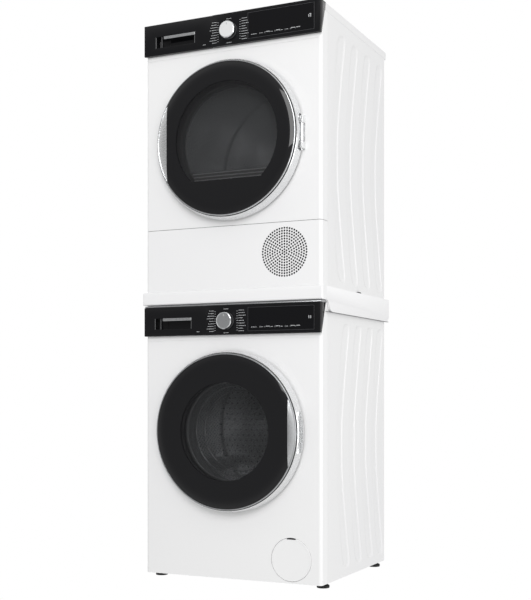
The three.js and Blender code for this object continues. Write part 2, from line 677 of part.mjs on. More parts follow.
// Heat pump module: a moulded case with the compressor standing in its rear end.
function heatPump() {
  const housing = {
    low: -270, high: -50, front: FRONT + 60, back: FRONT + 400, bottom: DRYER_BOTTOM + 6, height: 124,
  };
  const compressor = { x: -190, y: FRONT + 330, radius: 55, height: 60 };
  const top = housing.bottom + housing.height;
  add('dryer_heat_pump', 'zinc', combine([
    box(housing.low, housing.high, housing.front, housing.back, housing.bottom, top),
    rodZ(compressor.radius, top - 1, top + compressor.height, compressor.x, compressor.y, 32),
    rodZ(compressor.radius * 0.7, top, top + compressor.height + 12, compressor.x, compressor.y, 32),
  ]));
}

baseTray(dryer, 60, []);
sidePanel(dryer, -1);
sidePanel(dryer, 1);
rearPanel(dryer);
frontPanel(dryer, SERVICE_TOP + GAP, []);
add('dryer_service_panel', 'white', alongZ(wrappedPlan(), dryer.bottom, SERVICE_TOP - GAP, 4));
dryerTopCover();
fascia(dryer);
drawerFront(dryer, 'tank_drawer_front', 'tank_handle_strip');
waterTank();
door(dryer);
dryerDoorInner();
bulkhead();
lintFilter();
drum(dryer, { outer: 270, mouth: 208, front: 74, back: 478, ridge: 232, paddleFront: 140, paddleBack: 410 });
dryerMotor();
heatPump();

export default group;
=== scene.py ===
"""Looks of the washer and dryer stack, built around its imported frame.

Lengths here are millimetres in the frame's own axes: -Y is the front, +Z is up. They become metres
when a mesh is made. Places come from the CAD nodes' boxes.
"""
import math

import bmesh
import bpy
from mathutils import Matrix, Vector


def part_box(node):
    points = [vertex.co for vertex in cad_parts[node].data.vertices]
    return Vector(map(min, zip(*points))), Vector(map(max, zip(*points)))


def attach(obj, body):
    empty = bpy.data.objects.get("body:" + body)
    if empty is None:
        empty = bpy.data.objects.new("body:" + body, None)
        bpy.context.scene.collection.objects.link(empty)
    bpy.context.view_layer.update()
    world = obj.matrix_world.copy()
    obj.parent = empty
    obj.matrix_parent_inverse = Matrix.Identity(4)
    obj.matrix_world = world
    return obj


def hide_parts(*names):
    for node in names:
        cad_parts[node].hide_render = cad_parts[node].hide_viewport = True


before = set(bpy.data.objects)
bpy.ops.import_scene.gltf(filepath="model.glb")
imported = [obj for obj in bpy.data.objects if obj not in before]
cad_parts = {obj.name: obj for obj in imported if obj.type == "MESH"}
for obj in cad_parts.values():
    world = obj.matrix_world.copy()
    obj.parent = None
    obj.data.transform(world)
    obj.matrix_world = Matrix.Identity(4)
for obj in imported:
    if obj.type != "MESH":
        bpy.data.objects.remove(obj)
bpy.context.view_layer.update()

MM = 0.001
ROUND = 160                     # sides of a large circle


# ---------------------------------------------------------------- places from the frame
def box_mm(node):
    """Lowest and highest corner of a CAD node, in millimetres."""
    low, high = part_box(node)
    return low / MM, high / MM


def middle(node):
    low, high = box_mm(node)
    return (low + high) / 2


FRONT_LOW, FRONT_HIGH = box_mm("washer_front_panel")
FRONT = FRONT_LOW.y                                # plane of the white fronts
SEAM = FRONT_HIGH.y                                # rear edge of the wrapped fronts
HALF = FRONT_HIGH.x                                # half the cabinet width
REAR = box_mm("washer_rear_panel")[1].y
FASCIA_FACE = box_mm("washer_fascia")[0].y
DOOR_FACE = box_mm("washer_door_glass")[0].y
HINGE_X = 240                   # door hinge axis from the middle
HINGE_Y = FRONT - 12
HATCH_Z = 85
SIDES = {"left": -1, "right": 1}

# mouth: radius of the hole in the front. lip: radius of the drum's mouth. hub: radius of the raised middle
# of the drum's back. paddle: its inner radius, and its distance from the drum's front and back.
# holes: pitch and radius of the drum's holes, and the colour of its steel.
# window: the clear part of the door's glass: centre X, radius, lowest height and opacity,
# with the height counted from the door's middle.
UNITS = {
    "washer": {"hinge": -1, "drawer": "detergent_drawer_front", "mouth": 176, "lip": 173, "hub": 90,
               "paddle": (198, 26, 22), "holes": (13, 2.6, (0.62, 0.63, 0.64)),
               "window": (0, 148, -400, 0.42)},
    "dryer": {"hinge": 1, "drawer": "tank_drawer_front", "mouth": 206, "lip": 209, "hub": 120,
              "paddle": (232, 66, 68), "holes": (17, 2.0, (0.55, 0.55, 0.56)),
              "window": (6, 170, -124, 0.4)},
}
for name, unit in UNITS.items():
    unit["name"] = name
    unit["door_z"] = middle(f"{name}_door_ring").z
    unit["knob"] = middle(f"{name}_knob")
    glass_low, glass_high = box_mm(f"{name}_door_glass")
    unit["glass_radius"] = (glass_high.z - glass_low.z) / 2
    unit["chord"] = min(glass_high.x, -glass_low.x)     # straight edge of the glass, beside the grip
    unit["side_low"], unit["side_high"] = (corner.z for corner in box_mm(f"{name}_left_side"))
    unit["fascia_low"], unit["fascia_high"] = (corner.z for corner in box_mm(f"{name}_fascia"))
    unit["split"] = box_mm(unit["drawer"])[1].x         # right edge of the drawer


# ---------------------------------------------------------------- meshes
def add_mesh(name, vertices, faces):
    """A closed piece from vertices in millimetres, with its faces turned outwards."""
    mesh = bpy.data.meshes.new(name)
    mesh.from_pydata([(x * MM, y * MM, z * MM) for x, y, z in vertices], [], faces)
    work = bmesh.new()
    work.from_mesh(mesh)
    bmesh.ops.recalc_face_normals(work, faces=work.faces)
    work.to_mesh(mesh)
    work.free()
    piece = bpy.data.objects.new(name, mesh)
    bpy.context.scene.collection.objects.link(piece)
    return piece


def revolve(name, profile, x, z, segments=ROUND, closed=False, base=0.0):
    """Turns [radius, y] points round an axis along Y, with y counted from a base.

    Open profiles start and end on the axis.
    """
    vertices = []
    rings = []
    for radius, y in profile:
        if radius < 1e-6:
            rings.append([len(vertices)])
            vertices.append((x, base + y, z))
            continue
        rings.append(list(range(len(vertices), len(vertices) + segments)))
        for step in range(segments):
            angle = 2 * math.pi * step / segments
            vertices.append((x + radius * math.sin(angle), base + y, z + radius * math.cos(angle)))
    faces = []
    pairs = list(zip(rings, rings[1:]))
    if closed:
        pairs.append((rings[-1], rings[0]))
    for first, second in pairs:
        for step in range(segments):
            following = (step + 1) % segments
            if len(first) == 1:
                faces.append((first[0], second[step], second[following]))
            elif len(second) == 1:
                faces.append((first[step], first[following], second[0]))
            else:
                faces.append((first[step], first[following], second[following], second[step]))
    return add_mesh(name, vertices, faces)


def prism(name, outline, axis, low, high):
    """An outline pushed along an axis. Its points are the two other coordinates, in X, Y, Z order."""
    order = {"x": lambda a, b, c: (c, a, b), "y": lambda a, b, c: (a, c, b), "z": lambda a, b, c: (a, b, c)}
    place = order[axis]
    count = len(outline)
    vertices = [place(a, b, level) for level in (low, high) for a, b in outline]
    faces = [tuple(range(count)), tuple(range(count, 2 * count))]
    for index in range(count):
        following = (index + 1) % count
        faces.append((index, following, count + following, count + index))
    return add_mesh(name, vertices, faces)


def rectangle(low, high):
    return [(low[0], low[1]), (high[0], low[1]), (high[0], high[1]), (low[0], high[1])]


def block(name, low, high, bevel=0.0, steps=3):
    """A box, with all its edges rounded if a bevel is given."""
    piece = prism(name, rectangle(low, high), "z", low[2], high[2])
    if bevel:
        round_edges(piece, bevel, steps)
    return piece


def round_edges(piece, width, steps, least_angle=30):
    """Rounds a piece's sharp edges for good."""
    work = bmesh.new()
    work.from_mesh(piece.data)
    sharp = [edge for edge in work.edges
             if len(edge.link_faces) == 2 and edge.calc_face_angle() > math.radians(least_angle)]
    bmesh.ops.bevel(work, geom=sharp, offset=width * MM, segments=steps, profile=0.5,
                    affect="EDGES", clamp_overlap=True)
    work.to_mesh(piece.data)
    work.free()


def bake_modifiers(piece):
    bpy.context.view_layer.update()
    graph = bpy.context.evaluated_depsgraph_get()
    mesh = bpy.data.meshes.new_from_object(piece.evaluated_get(graph))
    piece.modifiers.clear()
    piece.data = mesh


def boolean(piece, others, operation="DIFFERENCE"):
    """Cuts the other pieces away, or joins them on, and removes them."""
    for other in others:
        modifier = piece.modifiers.new("boolean", "BOOLEAN")
        modifier.object = other
        modifier.operation = operation
        modifier.solver = "EXACT"
        bake_modifiers(piece)
        bpy.data.objects.remove(other)


def join(pieces, name):
    """Makes one named piece of several."""
    first = pieces[0]
    first.name = name
    work = bmesh.new()
    for piece in pieces:
        work.from_mesh(piece.data)
    work.to_mesh(first.data)
    work.free()
    for piece in pieces[1:]:
        bpy.data.objects.remove(piece)
    return first


def smooth(piece, angle):
    """Shades curved faces smoothly and leaves edges above the angle sharp."""
    piece.data.shade_smooth()
    piece.data.set_sharp_from_angle(angle=math.radians(angle))


def fillet(points, radius, steps=6):
    """An outline with every corner rounded."""
    rounded = []
    count = len(points)
    for index, point in enumerate(points):
        corner = Vector(point)
        before = Vector(points[index - 1]) - corner
        after = Vector(points[(index + 1) % count]) - corner
        reach = min(radius, before.length / 2.01, after.length / 2.01)
        start = corner + before.normalized() * reach
        end = corner + after.normalized() * reach
        for step in range(steps + 1):
            part = step / steps
            bend = (1 - part) ** 2 * start + 2 * part * (1 - part) * corner + part ** 2 * end
            rounded.append((bend.x, bend.y))
    return rounded


def circle(x, z, radius, steps, start=0.0, end=2 * math.pi):
    """Points round a circle, or along an arc of it."""
    whole = abs(end - start - 2 * math.pi) < 1e-6
    count = steps if whole else steps + 1
    return [(x + radius * math.cos(start + (end - start) * step / steps),
             z + radius * math.sin(start + (end - start) * step / steps)) for step in range(count)]


def dress(piece, material, nodes=(), angle=35, body="cabinet"):
    """Gives a piece its finish, the body it rides on and the CAD nodes it stands for."""
    smooth(piece, angle)
    flat = piece.modifiers.new("flat_faces", "WEIGHTED_NORMAL")
    flat.keep_sharp = True
    piece.data.materials.clear()
    piece.data.materials.append(material)
    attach(piece, body)
    if nodes:
        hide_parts(*nodes)


def keep(node, material, width=0.8, steps=2):
    """A CAD node that stays in view, with eased edges and a better finish."""
    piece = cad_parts[node]
    piece.data.materials.clear()
    piece.data.materials.append(material)
    weld = piece.modifiers.new("weld", "WELD")
    weld.merge_threshold = 0.02 * MM
    bevel = piece.modifiers.new("edges", "BEVEL")
    bevel.width = width * MM
    bevel.segments = steps
    bevel.limit_method = "ANGLE"
    bevel.angle_limit = math.radians(40)
    bevel.harden_normals = True
    smooth(piece, 40)


# ---------------------------------------------------------------- materials
NOISE_RANGE = (0.3, 0.7)        # where nearly all of a noise's values lie
ROW_STEP = 0.866                # distance of staggered rows as a part of the pitch


def node(tree, kind, inputs, **settings):
    """A new node. Its inputs take constants or other nodes' outputs."""
    made = tree.nodes.new(kind)
    for key, value in settings.items():
        setattr(made, key, value)
    for socket, value in inputs.items():
        if isinstance(value, bpy.types.NodeSocket):
            tree.links.new(value, made.inputs[socket])
        else:
            made.inputs[socket].default_value = value
    return made


def math_node(tree, operation, *values):
    return node(tree, "ShaderNodeMath", dict(enumerate(values)), operation=operation).outputs[0]


def distance_node(tree, across, height):
    """Distance from the origin of a plane."""
    squares = [math_node(tree, "MULTIPLY", value, value) for value in (across, height)]
    return math_node(tree, "SQRT", math_node(tree, "ADD", *squares))


def spread(tree, source, low, high, new_low=0.0, new_high=1.0):
    """Maps a value from one range to another."""
    inputs = {"Value": source, "From Min": low, "From Max": high, "To Min": new_low, "To Max": new_high}
    return node(tree, "ShaderNodeMapRange", inputs).outputs["Result"]


def ramp(tree, source, stops):
    """Blends the colours of (place, colour) stops."""
    blend = node(tree, "ShaderNodeValToRGB", {"Fac": source})
    elements = blend.color_ramp.elements
    while len(elements) < len(stops):
        elements.new(0.5)
    for element, (place, colour) in zip(elements, stops):
        element.position = place
        element.color = (*colour, 1)
    return blend.outputs["Color"]


def coordinates(tree):
    """X, Y and Z in object space, in metres."""
    place = node(tree, "ShaderNodeTexCoord", {}).outputs["Object"]
    return tuple(node(tree, "ShaderNodeSeparateXYZ", {0: place}).outputs)


def shader(name, colour, roughness, metallic=0.0, **sockets):
    """A principled material. Extra sockets are given with underscores for spaces."""
    material = bpy.data.materials.new(name)
    material.use_nodes = True
    surface = material.node_tree.nodes["Principled BSDF"]
    surface.inputs["Base Color"].default_value = (*colour, 1.0)
    surface.inputs["Roughness"].default_value = roughness
    surface.inputs["Metallic"].default_value = metallic
    for socket, value in sockets.items():
        surface.inputs[socket.replace("_", " ")].default_value = value
    return material


def drive(material, socket, source):
    """Links a node's output to a socket of the surface."""
    surface = material.node_tree.nodes["Principled BSDF"]
    material.node_tree.links.new(source, surface.inputs[socket])


def noise(material, scale, detail=2.0, stretch=(1, 1, 1)):
    """Noise in object space, scaled per metre. Returns its value socket."""
    tree = material.node_tree
    place = node(tree, "ShaderNodeTexCoord", {}).outputs["Object"]
    stretched = node(tree, "ShaderNodeMapping", {"Vector": place, "Scale": stretch}).outputs["Vector"]
    inputs = {"Vector": stretched, "Scale": scale, "Detail": detail}
    return node(tree, "ShaderNodeTexNoise", inputs).outputs["Fac"]


def vary(material, socket, source, low, high):
    """Drives a socket of the surface between two values."""
    drive(material, socket, spread(material.node_tree, source, *NOISE_RANGE, low, high))


def bump(material, source, strength, distance):
    inputs = {"Height": source, "Strength": strength, "Distance": distance * MM}
    drive(material, "Normal", node(material.node_tree, "ShaderNodeBump", inputs).outputs["Normal"])


def enamel(name, colour, second):
    """Baked enamel on sheet steel: faint orange peel, and a trace of tone across a panel."""
    material = shader(name, colour, 0.32, Specular_IOR_Level=0.45)
    tone = ramp(material.node_tree, noise(material, 1.3, 1.0), [(0.35, colour), (0.65, second)])
    drive(material, "Base Color", tone)
    vary(material, "Roughness", noise(material, 30), 0.28, 0.36)
    bump(material, noise(material, 420, 1.0), 0.05, 0.25)
    return material


def moulded(name, colour, roughness, grain=0.25):
    """Injection-moulded plastic with a fine spark-eroded grain."""
    material = shader(name, colour, roughness)
    vary(material, "Roughness", noise(material, 60), roughness - 0.06, roughness + 0.06)
    bump(material, noise(material, 1400, 3.0), grain, 0.05)
    return material


def gloss_black(name, colour):
    """Gloss black plastic with the faintest wipe marks."""
    material = shader(name, colour, 0.07, Specular_IOR_Level=0.28)
    vary(material, "Roughness", noise(material, 9, 4.0, (1, 1, 3)), 0.05, 0.12)
    bump(material, noise(material, 60, 1.0), 0.02, 0.1)
    return material


def plated(name, colour, roughness):
    """Chrome plating: mirror bright with hairline polishing marks."""
    material = shader(name, colour, roughness, 1.0)
    vary(material, "Roughness", noise(material, 260, 2.0, (1, 9, 1)), roughness * 0.7, roughness * 1.4)
    bump(material, noise(material, 90, 2.0), 0.03, 0.1)
    return material


def satin_metal(name, colour, roughness, stretch=(1, 1, 1), metallic=1.0):
    """Brushed or satin metal, its grain drawn out along the least stretched axis."""
    material = shader(name, colour, roughness, metallic)
    grain = noise(material, 380, 3.0, stretch)
    vary(material, "Roughness", grain, roughness - 0.07, roughness + 0.09)
    bump(material, grain, 0.08, 0.05)
    return material


def clear_glass(name, colour, alpha, roughness=0.02):
    material = shader(name, colour, roughness, Alpha=alpha, Specular_IOR_Level=0.4)
    vary(material, "Roughness", noise(material, 14, 3.0), roughness, roughness + 0.03)
    return material


def hole_mask(tree, along, across, pitch, radius):
    """1 inside staggered round holes on a plane of two coordinates in metres."""
    row = math_node(tree, "DIVIDE", across, pitch * ROW_STEP * MM)
    shift = math_node(tree, "MULTIPLY", math_node(tree, "FLOOR", row), 0.5)
    column = math_node(tree, "ADD", math_node(tree, "DIVIDE", along, pitch * MM), shift)
    u, v = (math_node(tree, "SUBTRACT", math_node(tree, "FRACT", value), 0.5) for value in (column, row))
    distance = distance_node(tree, u, math_node(tree, "MULTIPLY", v, ROW_STEP))
    return math_node(tree, "LESS_THAN", distance, radius / pitch)


def perforated_steel(name, centre_z, wall_radius, back_y, pitch, radius, colour):
    """Drum steel with rows of holes: round the wall by angle, and on the back by X and Z."""
    material = shader(name, colour, 0.28, 1.0)
    tree = material.node_tree
    x, y, z = coordinates(tree)
    height = math_node(tree, "SUBTRACT", z, centre_z * MM)
    arc = math_node(tree, "MULTIPLY", math_node(tree, "ARCTAN2", x, height), wall_radius * MM)
    masks = {
        "Factor": math_node(tree, "GREATER_THAN", y, (back_y - 6) * MM),
        "A": hole_mask(tree, arc, y, pitch, radius),
        "B": hole_mask(tree, x, height, pitch * 1.6, radius),
    }
    holes = node(tree, "ShaderNodeMix", masks, data_type="FLOAT").outputs["Result"]
    drive(material, "Base Color", ramp(tree, holes, [(0, colour), (1, (0.01, 0.01, 0.01))]))
    bump(material, math_node(tree, "SUBTRACT", 1.0, holes), 0.6, 0.8)
    return material


WHITE = enamel("white_enamel", (0.84, 0.84, 0.845), (0.86, 0.86, 0.86))
# The sides' enamel is the white enamel made a little darker: painted shade for the faces turned from the
# light.
SHADED_ENAMEL = enamel("side_enamel", (0.80, 0.80, 0.805), (0.82, 0.82, 0.82))
KIT_WHITE = moulded("kit_plastic", (0.84, 0.84, 0.845), 0.42, 0.1)
BLACK = gloss_black("fascia_black", (0.007, 0.007, 0.008))
DISPLAY = gloss_black("display_black", (0.004, 0.004, 0.005))
# Black for the feet, and for the dark strips that paint shade in gaps: the seam, the grille, the door's rim
# and the hatch.
BLACK_AND_SHADE = moulded("black_and_painted_shade", (0.012, 0.012, 0.012), 0.8)
KNOB_SKIRT = satin_metal("knob_skirt", (0.16, 0.16, 0.165), 0.32)
SILL_GREY = moulded("sill_grey", (0.26, 0.26, 0.265), 0.45)
# Dark grey for the door moulding and the drawer recess' end lines, and the painted shadow lines under the
# kit's skirts.
GREY_AND_SHADE = moulded("dark_grey_and_painted_shade", (0.16, 0.16, 0.165), 0.4)
CHROME = plated("door_chrome", (0.80, 0.81, 0.82), 0.09)
SATIN = satin_metal("silver_trim", (0.62, 0.63, 0.64), 0.3, (1, 1, 6))
KNOB_FACE = satin_metal("knob_face", (0.55, 0.56, 0.57), 0.34, (1, 6, 1))
# A paler copy of the knob's silver: painted light on the dryer's knob face, and the washer's pale pointer
# line.
KNOB_PALE_AND_LIT = satin_metal("knob_face_pale_and_painted_light", (0.82, 0.82, 0.82), 0.4, (1, 6, 1), 0.3)
DARK = moulded("dark_plastic", (0.025, 0.025, 0.027), 0.5)
LIGHT = moulded("light_plastic", (0.62, 0.63, 0.64), 0.5)
RUBBER = moulded("seal_rubber", (0.11, 0.11, 0.115), 0.62, 0.4)
STEEL = satin_metal("drum_paddle_steel", (0.66, 0.67, 0.68), 0.25, (1, 5, 1))
ZINC = satin_metal("galvanised", (0.55, 0.56, 0.57), 0.42, (1, 1, 3), 0.8)
CAST = moulded("motor_casting", (0.16, 0.165, 0.17), 0.55, 0.6)
CONCRETE = moulded("concrete", (0.36, 0.35, 0.33), 0.9, 0.9)
BOWL = clear_glass("bowl_glass", (0.80, 0.83, 0.85), 0.16)
BOWL_EDGE = shader("bowl_edge", (0.62, 0.63, 0.64), 0.12, 0.7, Specular_IOR_Level=0.7)
vary(BOWL_EDGE, "Roughness", noise(BOWL_EDGE, 40), 0.08, 0.2)
PRINT = shader("printed_marks", (0.55, 0.56, 0.57), 0.5)
vary(PRINT, "Roughness", noise(PRINT, 200), 0.45, 0.6)
RIM_SILVER = satin_metal("rim_silver", (0.78, 0.785, 0.79), 0.24, metallic=0.85)
DIM_PRINT = shader("printed_border", (0.07, 0.07, 0.075), 0.4)
vary(DIM_PRINT, "Roughness", noise(DIM_PRINT, 200), 0.35, 0.5)


# ---------------------------------------------------------------- side panels
RIB_MIDDLE = {"washer": (162, 268, 373, 470), "dryer": (126, 235, 347, 463)}
RIB_WIDTH = 54
RIB_LEAN = 66                   # how far the ends of a rib lie behind its middle
RIB_DEPTH = 2.4
RIB_MARGIN = {"washer": (26, 53), "dryer": (21, 35)}    # clear of the panel's lower and upper edge


def lean(part):
    """0 in the middle of a rib and 1 at its ends, for a place from -1 to 1 along it."""
    return max(0.0, (abs(part) - 0.15) / 0.85) ** 1.25


def rib_relief(across, z, low, high, width):
    """Depth of a rib at a distance across it, from its front edge, and a height."""
    radius = width / 2
    nearest = min(max(z, low + radius), high - radius)
    inside = radius - math.hypot(across - radius, z - nearest)
    if inside <= 0:
        return 0.0
    edge = min(1.0, inside / 2.4)
    edge = edge * edge * (3 - 2 * edge)
    from_end = min(z - low, high - z)
    full = 1 - min(1.0, max(0.0, (from_end - 85) / 60))
    slope = min(1.0, max(0.0, across / width))
    return edge * (full + (1 - full) * slope)


def ribbed_side(unit, side_name):
    """One side panel: four embossed ribs that bow towards the front, and a rear edge turned inwards."""
    name, side = unit["name"], SIDES[side_name]
    low, high = unit["side_low"], unit["side_high"]
    margin_low, margin_high = RIB_MARGIN[name]
    rib_low, rib_high = low + margin_low, high - margin_high
    centre, half_length = (rib_low + rib_high) / 2, (rib_high - rib_low) / 2
    starts = [middle_edge - RIB_WIDTH for middle_edge in RIB_MIDDLE[name]]
    columns = [(SEAM - FRONT + 0.5, None)]
    across_steps = [0, 1.2, 2.4, 8, 16, 27, 38, 46, 51.6, 52.8, 54]
    for start in starts:
        columns.append((start - 6, None))
        columns += [(start + step, start) for step in across_steps]
        columns.append((start + RIB_WIDTH + 5, None))
    last = REAR - FRONT
    rows = [low, low + 8]
    fine_low = [rib_low + step for step in (-2, 0, 1, 3, 6, 10, 15, 21, 27, 40, 60, 85, 105, 125, 145)]
    fine_high = [rib_high + rib_low - z for z in reversed(fine_low)]
    count = 22
    coarse = [fine_low[-1] + (fine_high[0] - fine_low[-1]) * step / count for step in range(1, count)]
    rows += fine_low + coarse + fine_high + [high - 8, high]
    front_fixed = columns[0][0]
    vertices = []
    for z in rows:
        offset = RIB_LEAN * lean((z - centre) / half_length) if rib_low - 30 < z < rib_high + 30 else RIB_LEAN
        for base, start in columns:
            weight = min(1.0, (base - front_fixed) / 30)
            y = base + offset * weight
            y = min(y, last - 5 - (columns[-1][0] - base) * 0.02)
            depth = 0.0 if start is None else rib_relief(base - start, z, rib_low, rib_high, RIB_WIDTH)
            vertices.append((side * (HALF - RIB_DEPTH * depth), FRONT + y, z))
        for x, y in ((HALF, REAR - 3), (HALF - 0.9, REAR - 0.9), (HALF - 3, REAR), (HALF - 20, REAR)):
            vertices.append((side * x, y, z))
    width = len(columns) + 4
    faces = []
    for row in range(len(rows) - 1):
        for column in range(width - 1):
            first = row * width + column
            faces.append((first, first + 1, first + width + 1, first + width))
    panel = add_mesh(f"{name}_{side_name}_side_ribbed", vertices, faces)
    if panel.data.polygons[0].normal.x * side < 0:
        panel.data.flip_normals()
    sheet = panel.modifiers.new("sheet", "SOLIDIFY")
    sheet.thickness = 1.2 * MM
    sheet.offset = -1
    bake_modifiers(panel)
    dress(panel, SHADED_ENAMEL, [f"{name}_{side_name}_side"], 50)


# ---------------------------------------------------------------- white fronts
CORNER = 10                     # radius of the fronts' upright edges
GRILLE_X, GRILLE_PITCH, GRILLE_HOLE, GRILLE_RINGS = 178, 7.9, 3.15, 9


def wrapped_plan(inset=0.0, sheet=1.6):
    """Plan of a front sheet with rounded corners and ends turned back along the sides."""
    outer = []
    inner = []
    for side, start in ((-1, math.pi), (1, 1.5 * math.pi)):
        for line, radius in ((outer, CORNER - inset), (inner, CORNER - inset - sheet)):
            line += circle(side * (HALF - CORNER), FRONT + CORNER, radius, 10, start, start + math.pi / 2)
    wide, narrow = HALF - inset, HALF - inset - sheet
    return [(-wide, SEAM), *outer, (wide, SEAM), (narrow, SEAM), *inner[::-1], (-narrow, SEAM)]


def fascia_wedge(unit):
    """Room for the fascia, cut out of the top of a white front."""
    slack, spare = 0.3, 30
    depth = box_mm(f"{unit['name']}_fascia")[1].y - FRONT
    low, high = unit["fascia_low"], unit["fascia_high"]
    slope = depth / (high - low)
    return prism("wedge", [(FRONT - spare, low - slack), (FRONT + slack, low - slack),
                           (FRONT + slack + depth + slope * spare, high + spare),
                           (FRONT - spare, high + spare)], "x", -HALF - 20, HALF + 20)


def white_front(unit):
    """A white front with the door's mouth, the fascia's seat and two thin grooves below it."""
    name = unit["name"]
    low, high = box_mm(f"{name}_front_panel")
    panel = prism(f"{name}_front_sheet", wrapped_plan(), "z", low.z, high.z)
    groove_z, upright = unit["fascia_low"] - 13, unit["split"] + 3
    front, back = FRONT - 1, FRONT + 0.9
    cutters = [
        fascia_wedge(unit),
        prism("mouth", circle(0, unit["door_z"], unit["mouth"], 128), "y", FRONT - 5, FRONT + 10),
        block("groove", (-HALF - 5, front, groove_z - 1.1), (HALF - 12, back, groove_z)),
        block("groove", (upright, front, groove_z), (upright + 1, back, groove_z + 9)),
    ]
    if name == "washer":
        hatch_x = middle("washer_filter_hatch").x
        cutters.append(prism("hatch_hole", circle(hatch_x, HATCH_Z, 65, 96), "y", FRONT - 5, FRONT + 10))
    boolean(panel, cutters)
    dress(panel, WHITE, [f"{name}_front_panel"], 25)


def service_panel():
    """The dryer's lower front with its round air grille of concentric holes."""
    low, high = box_mm("dryer_service_panel")
    panel = prism("dryer_service_sheet", wrapped_plan(), "z", low.z, high.z - 0.7)
    centre_z = (low.z + high.z) / 2 + 7
    holes = []
    for ring in range(GRILLE_RINGS + 1):
        count = max(1, 6 * ring)
        for step in range(count):
            angle = 2 * math.pi * (step + 0.5 * (ring % 2)) / count
            x = GRILLE_X + ring * GRILLE_PITCH * math.cos(angle)
            z = centre_z + ring * GRILLE_PITCH * math.sin(angle)
            holes.append(prism("hole", circle(x, z, GRILLE_HOLE, 12), "y", FRONT - 3, FRONT + 8))
    boolean(panel, [join(holes, "holes")])
    dress(panel, WHITE, ["dryer_service_panel"], 25)
    # A black sheet just behind the grille: painted shade, so the holes read dark.
    hole_shade_sheet = prism("dryer_grille_painted_shade", circle(GRILLE_X, centre_z, 78, 64), "y", FRONT + 1.9, FRONT + 4)
    dress(hole_shade_sheet, BLACK_AND_SHADE)
    # A black band behind the seam over the service panel: painted shade in the joint.
    seam_shade = prism("dryer_seam_painted_shade", wrapped_plan(1.9, 1.2), "z", high.z - 5, high.z + 5)
    dress(seam_shade, BLACK_AND_SHADE, (), 25)


# ---------------------------------------------------------------- control fascias
PRINT_THICK = 0.12
DASHES = (2.6, 1.3, 3.4, 1.9, 4.2, 1.1, 3.0, 2.2)
DASH_GAP = 0.8


def mark(x, z, width, height, y):
    """A printed mark, a hair proud of the face."""
    corners = rectangle((x - width / 2, z - height / 2), (x + width / 2, z + height / 2))
    return prism("mark", corners, "y", y - PRINT_THICK, y)


def label(x, z, length, y, seed, height=1.2):
    """A run of small dashes that stands for a printed caption, from its left end."""
    marks = []
    reached = 0.0
    index = seed
    while reached < length - DASH_GAP:
        width = min(DASHES[index % len(DASHES)], length - reached)
        tall = height * (1.0 if index % 3 else 1.3)
        marks.append(mark(x + reached + width / 2, z, width, tall, y))
        reached += width + DASH_GAP
        index += 1
    return marks


def programme_marks(unit):
    """Two columns of plain captions beside the knob, each with a tick that points at it."""
    centre = unit["knob"]
    marks = []
    rows, reach = 9, 31
    for side in (-1, 1):
        for row in range(rows):
            z = centre.z + reach - row * 2 * reach / (rows - 1)
            length = 15 + 3 * ((row * 5 + (side > 0)) % 4)
            near = centre.x + side * 42
            start = near if side > 0 else near - length
            marks += label(start, z, length, FASCIA_FACE, row * 3 + (side > 0))
            tick_z = z * 0.92 + centre.z * 0.08
            marks.append(mark(centre.x + side * 37.5, tick_z, 4.5, 0.8, FASCIA_FACE))
    for z, seed in ((centre.z + 36, 2), (centre.z - 36, 5)):
        marks += label(centre.x - 9, z, 18, FASCIA_FACE, seed)
    dress(join(marks, f"{unit['name']}_programme_marks"), PRINT)


def border(name, low, high, y, width):
    """A thin printed frame of four bars."""
    bars = [mark((low[0] + high[0]) / 2, z, high[0] - low[0], width, y) for z in (low[1], high[1])]
    bars += [mark(x, (low[1] + high[1]) / 2, width, high[1] - low[1] - 2 * width, y)
             for x in (low[0] + width / 2, high[0] - width / 2)]
    dress(join(bars, name), DIM_PRINT)


def display(unit):
    """The touch display: a gloss pane, a thin border, captions along the bottom, a start symbol."""
    name = unit["name"]
    low, high = box_mm(f"{name}_display")
    y = low.y
    pane = block(f"{name}_display_pane", low, high, 0.25, 2)
    dress(pane, DISPLAY, [f"{name}_display"], 30)
    border(f"{name}_display_border", (low.x + 1, low.z + 1.5), (high.x - 1, high.z - 1.5), y, 0.7)
    base = unit["fascia_low"] + 21
    marks = label(low.x + 12, base, 19, y, 4)
    for index in range(8):
        x = low.x + 44 + index * 16.5
        lift, length, tall = (1.5, 12, 1.9) if index in (1, 3, 6, 7) else (0, 7, 1.2)
        marks += label(x, base + lift, length, y, index, tall)
        marks.append(mark(x - 3, base, 0.7, 4.5, y))
    start_x, start_z = high.x - 15, low.z + (high.z - low.z) * 0.52
    marks += [mark(start_x + step * 3, start_z, 2, 8, y) for step in (-1, 1)]
    if name == "dryer":
        marks.append(mark(start_x + 1.6, start_z + 5, 6, 1.6, y))
    marks.append(mark(start_x, start_z - 1, 1.2, 1.2, y))
    dress(join(marks, f"{name}_display_marks"), PRINT)


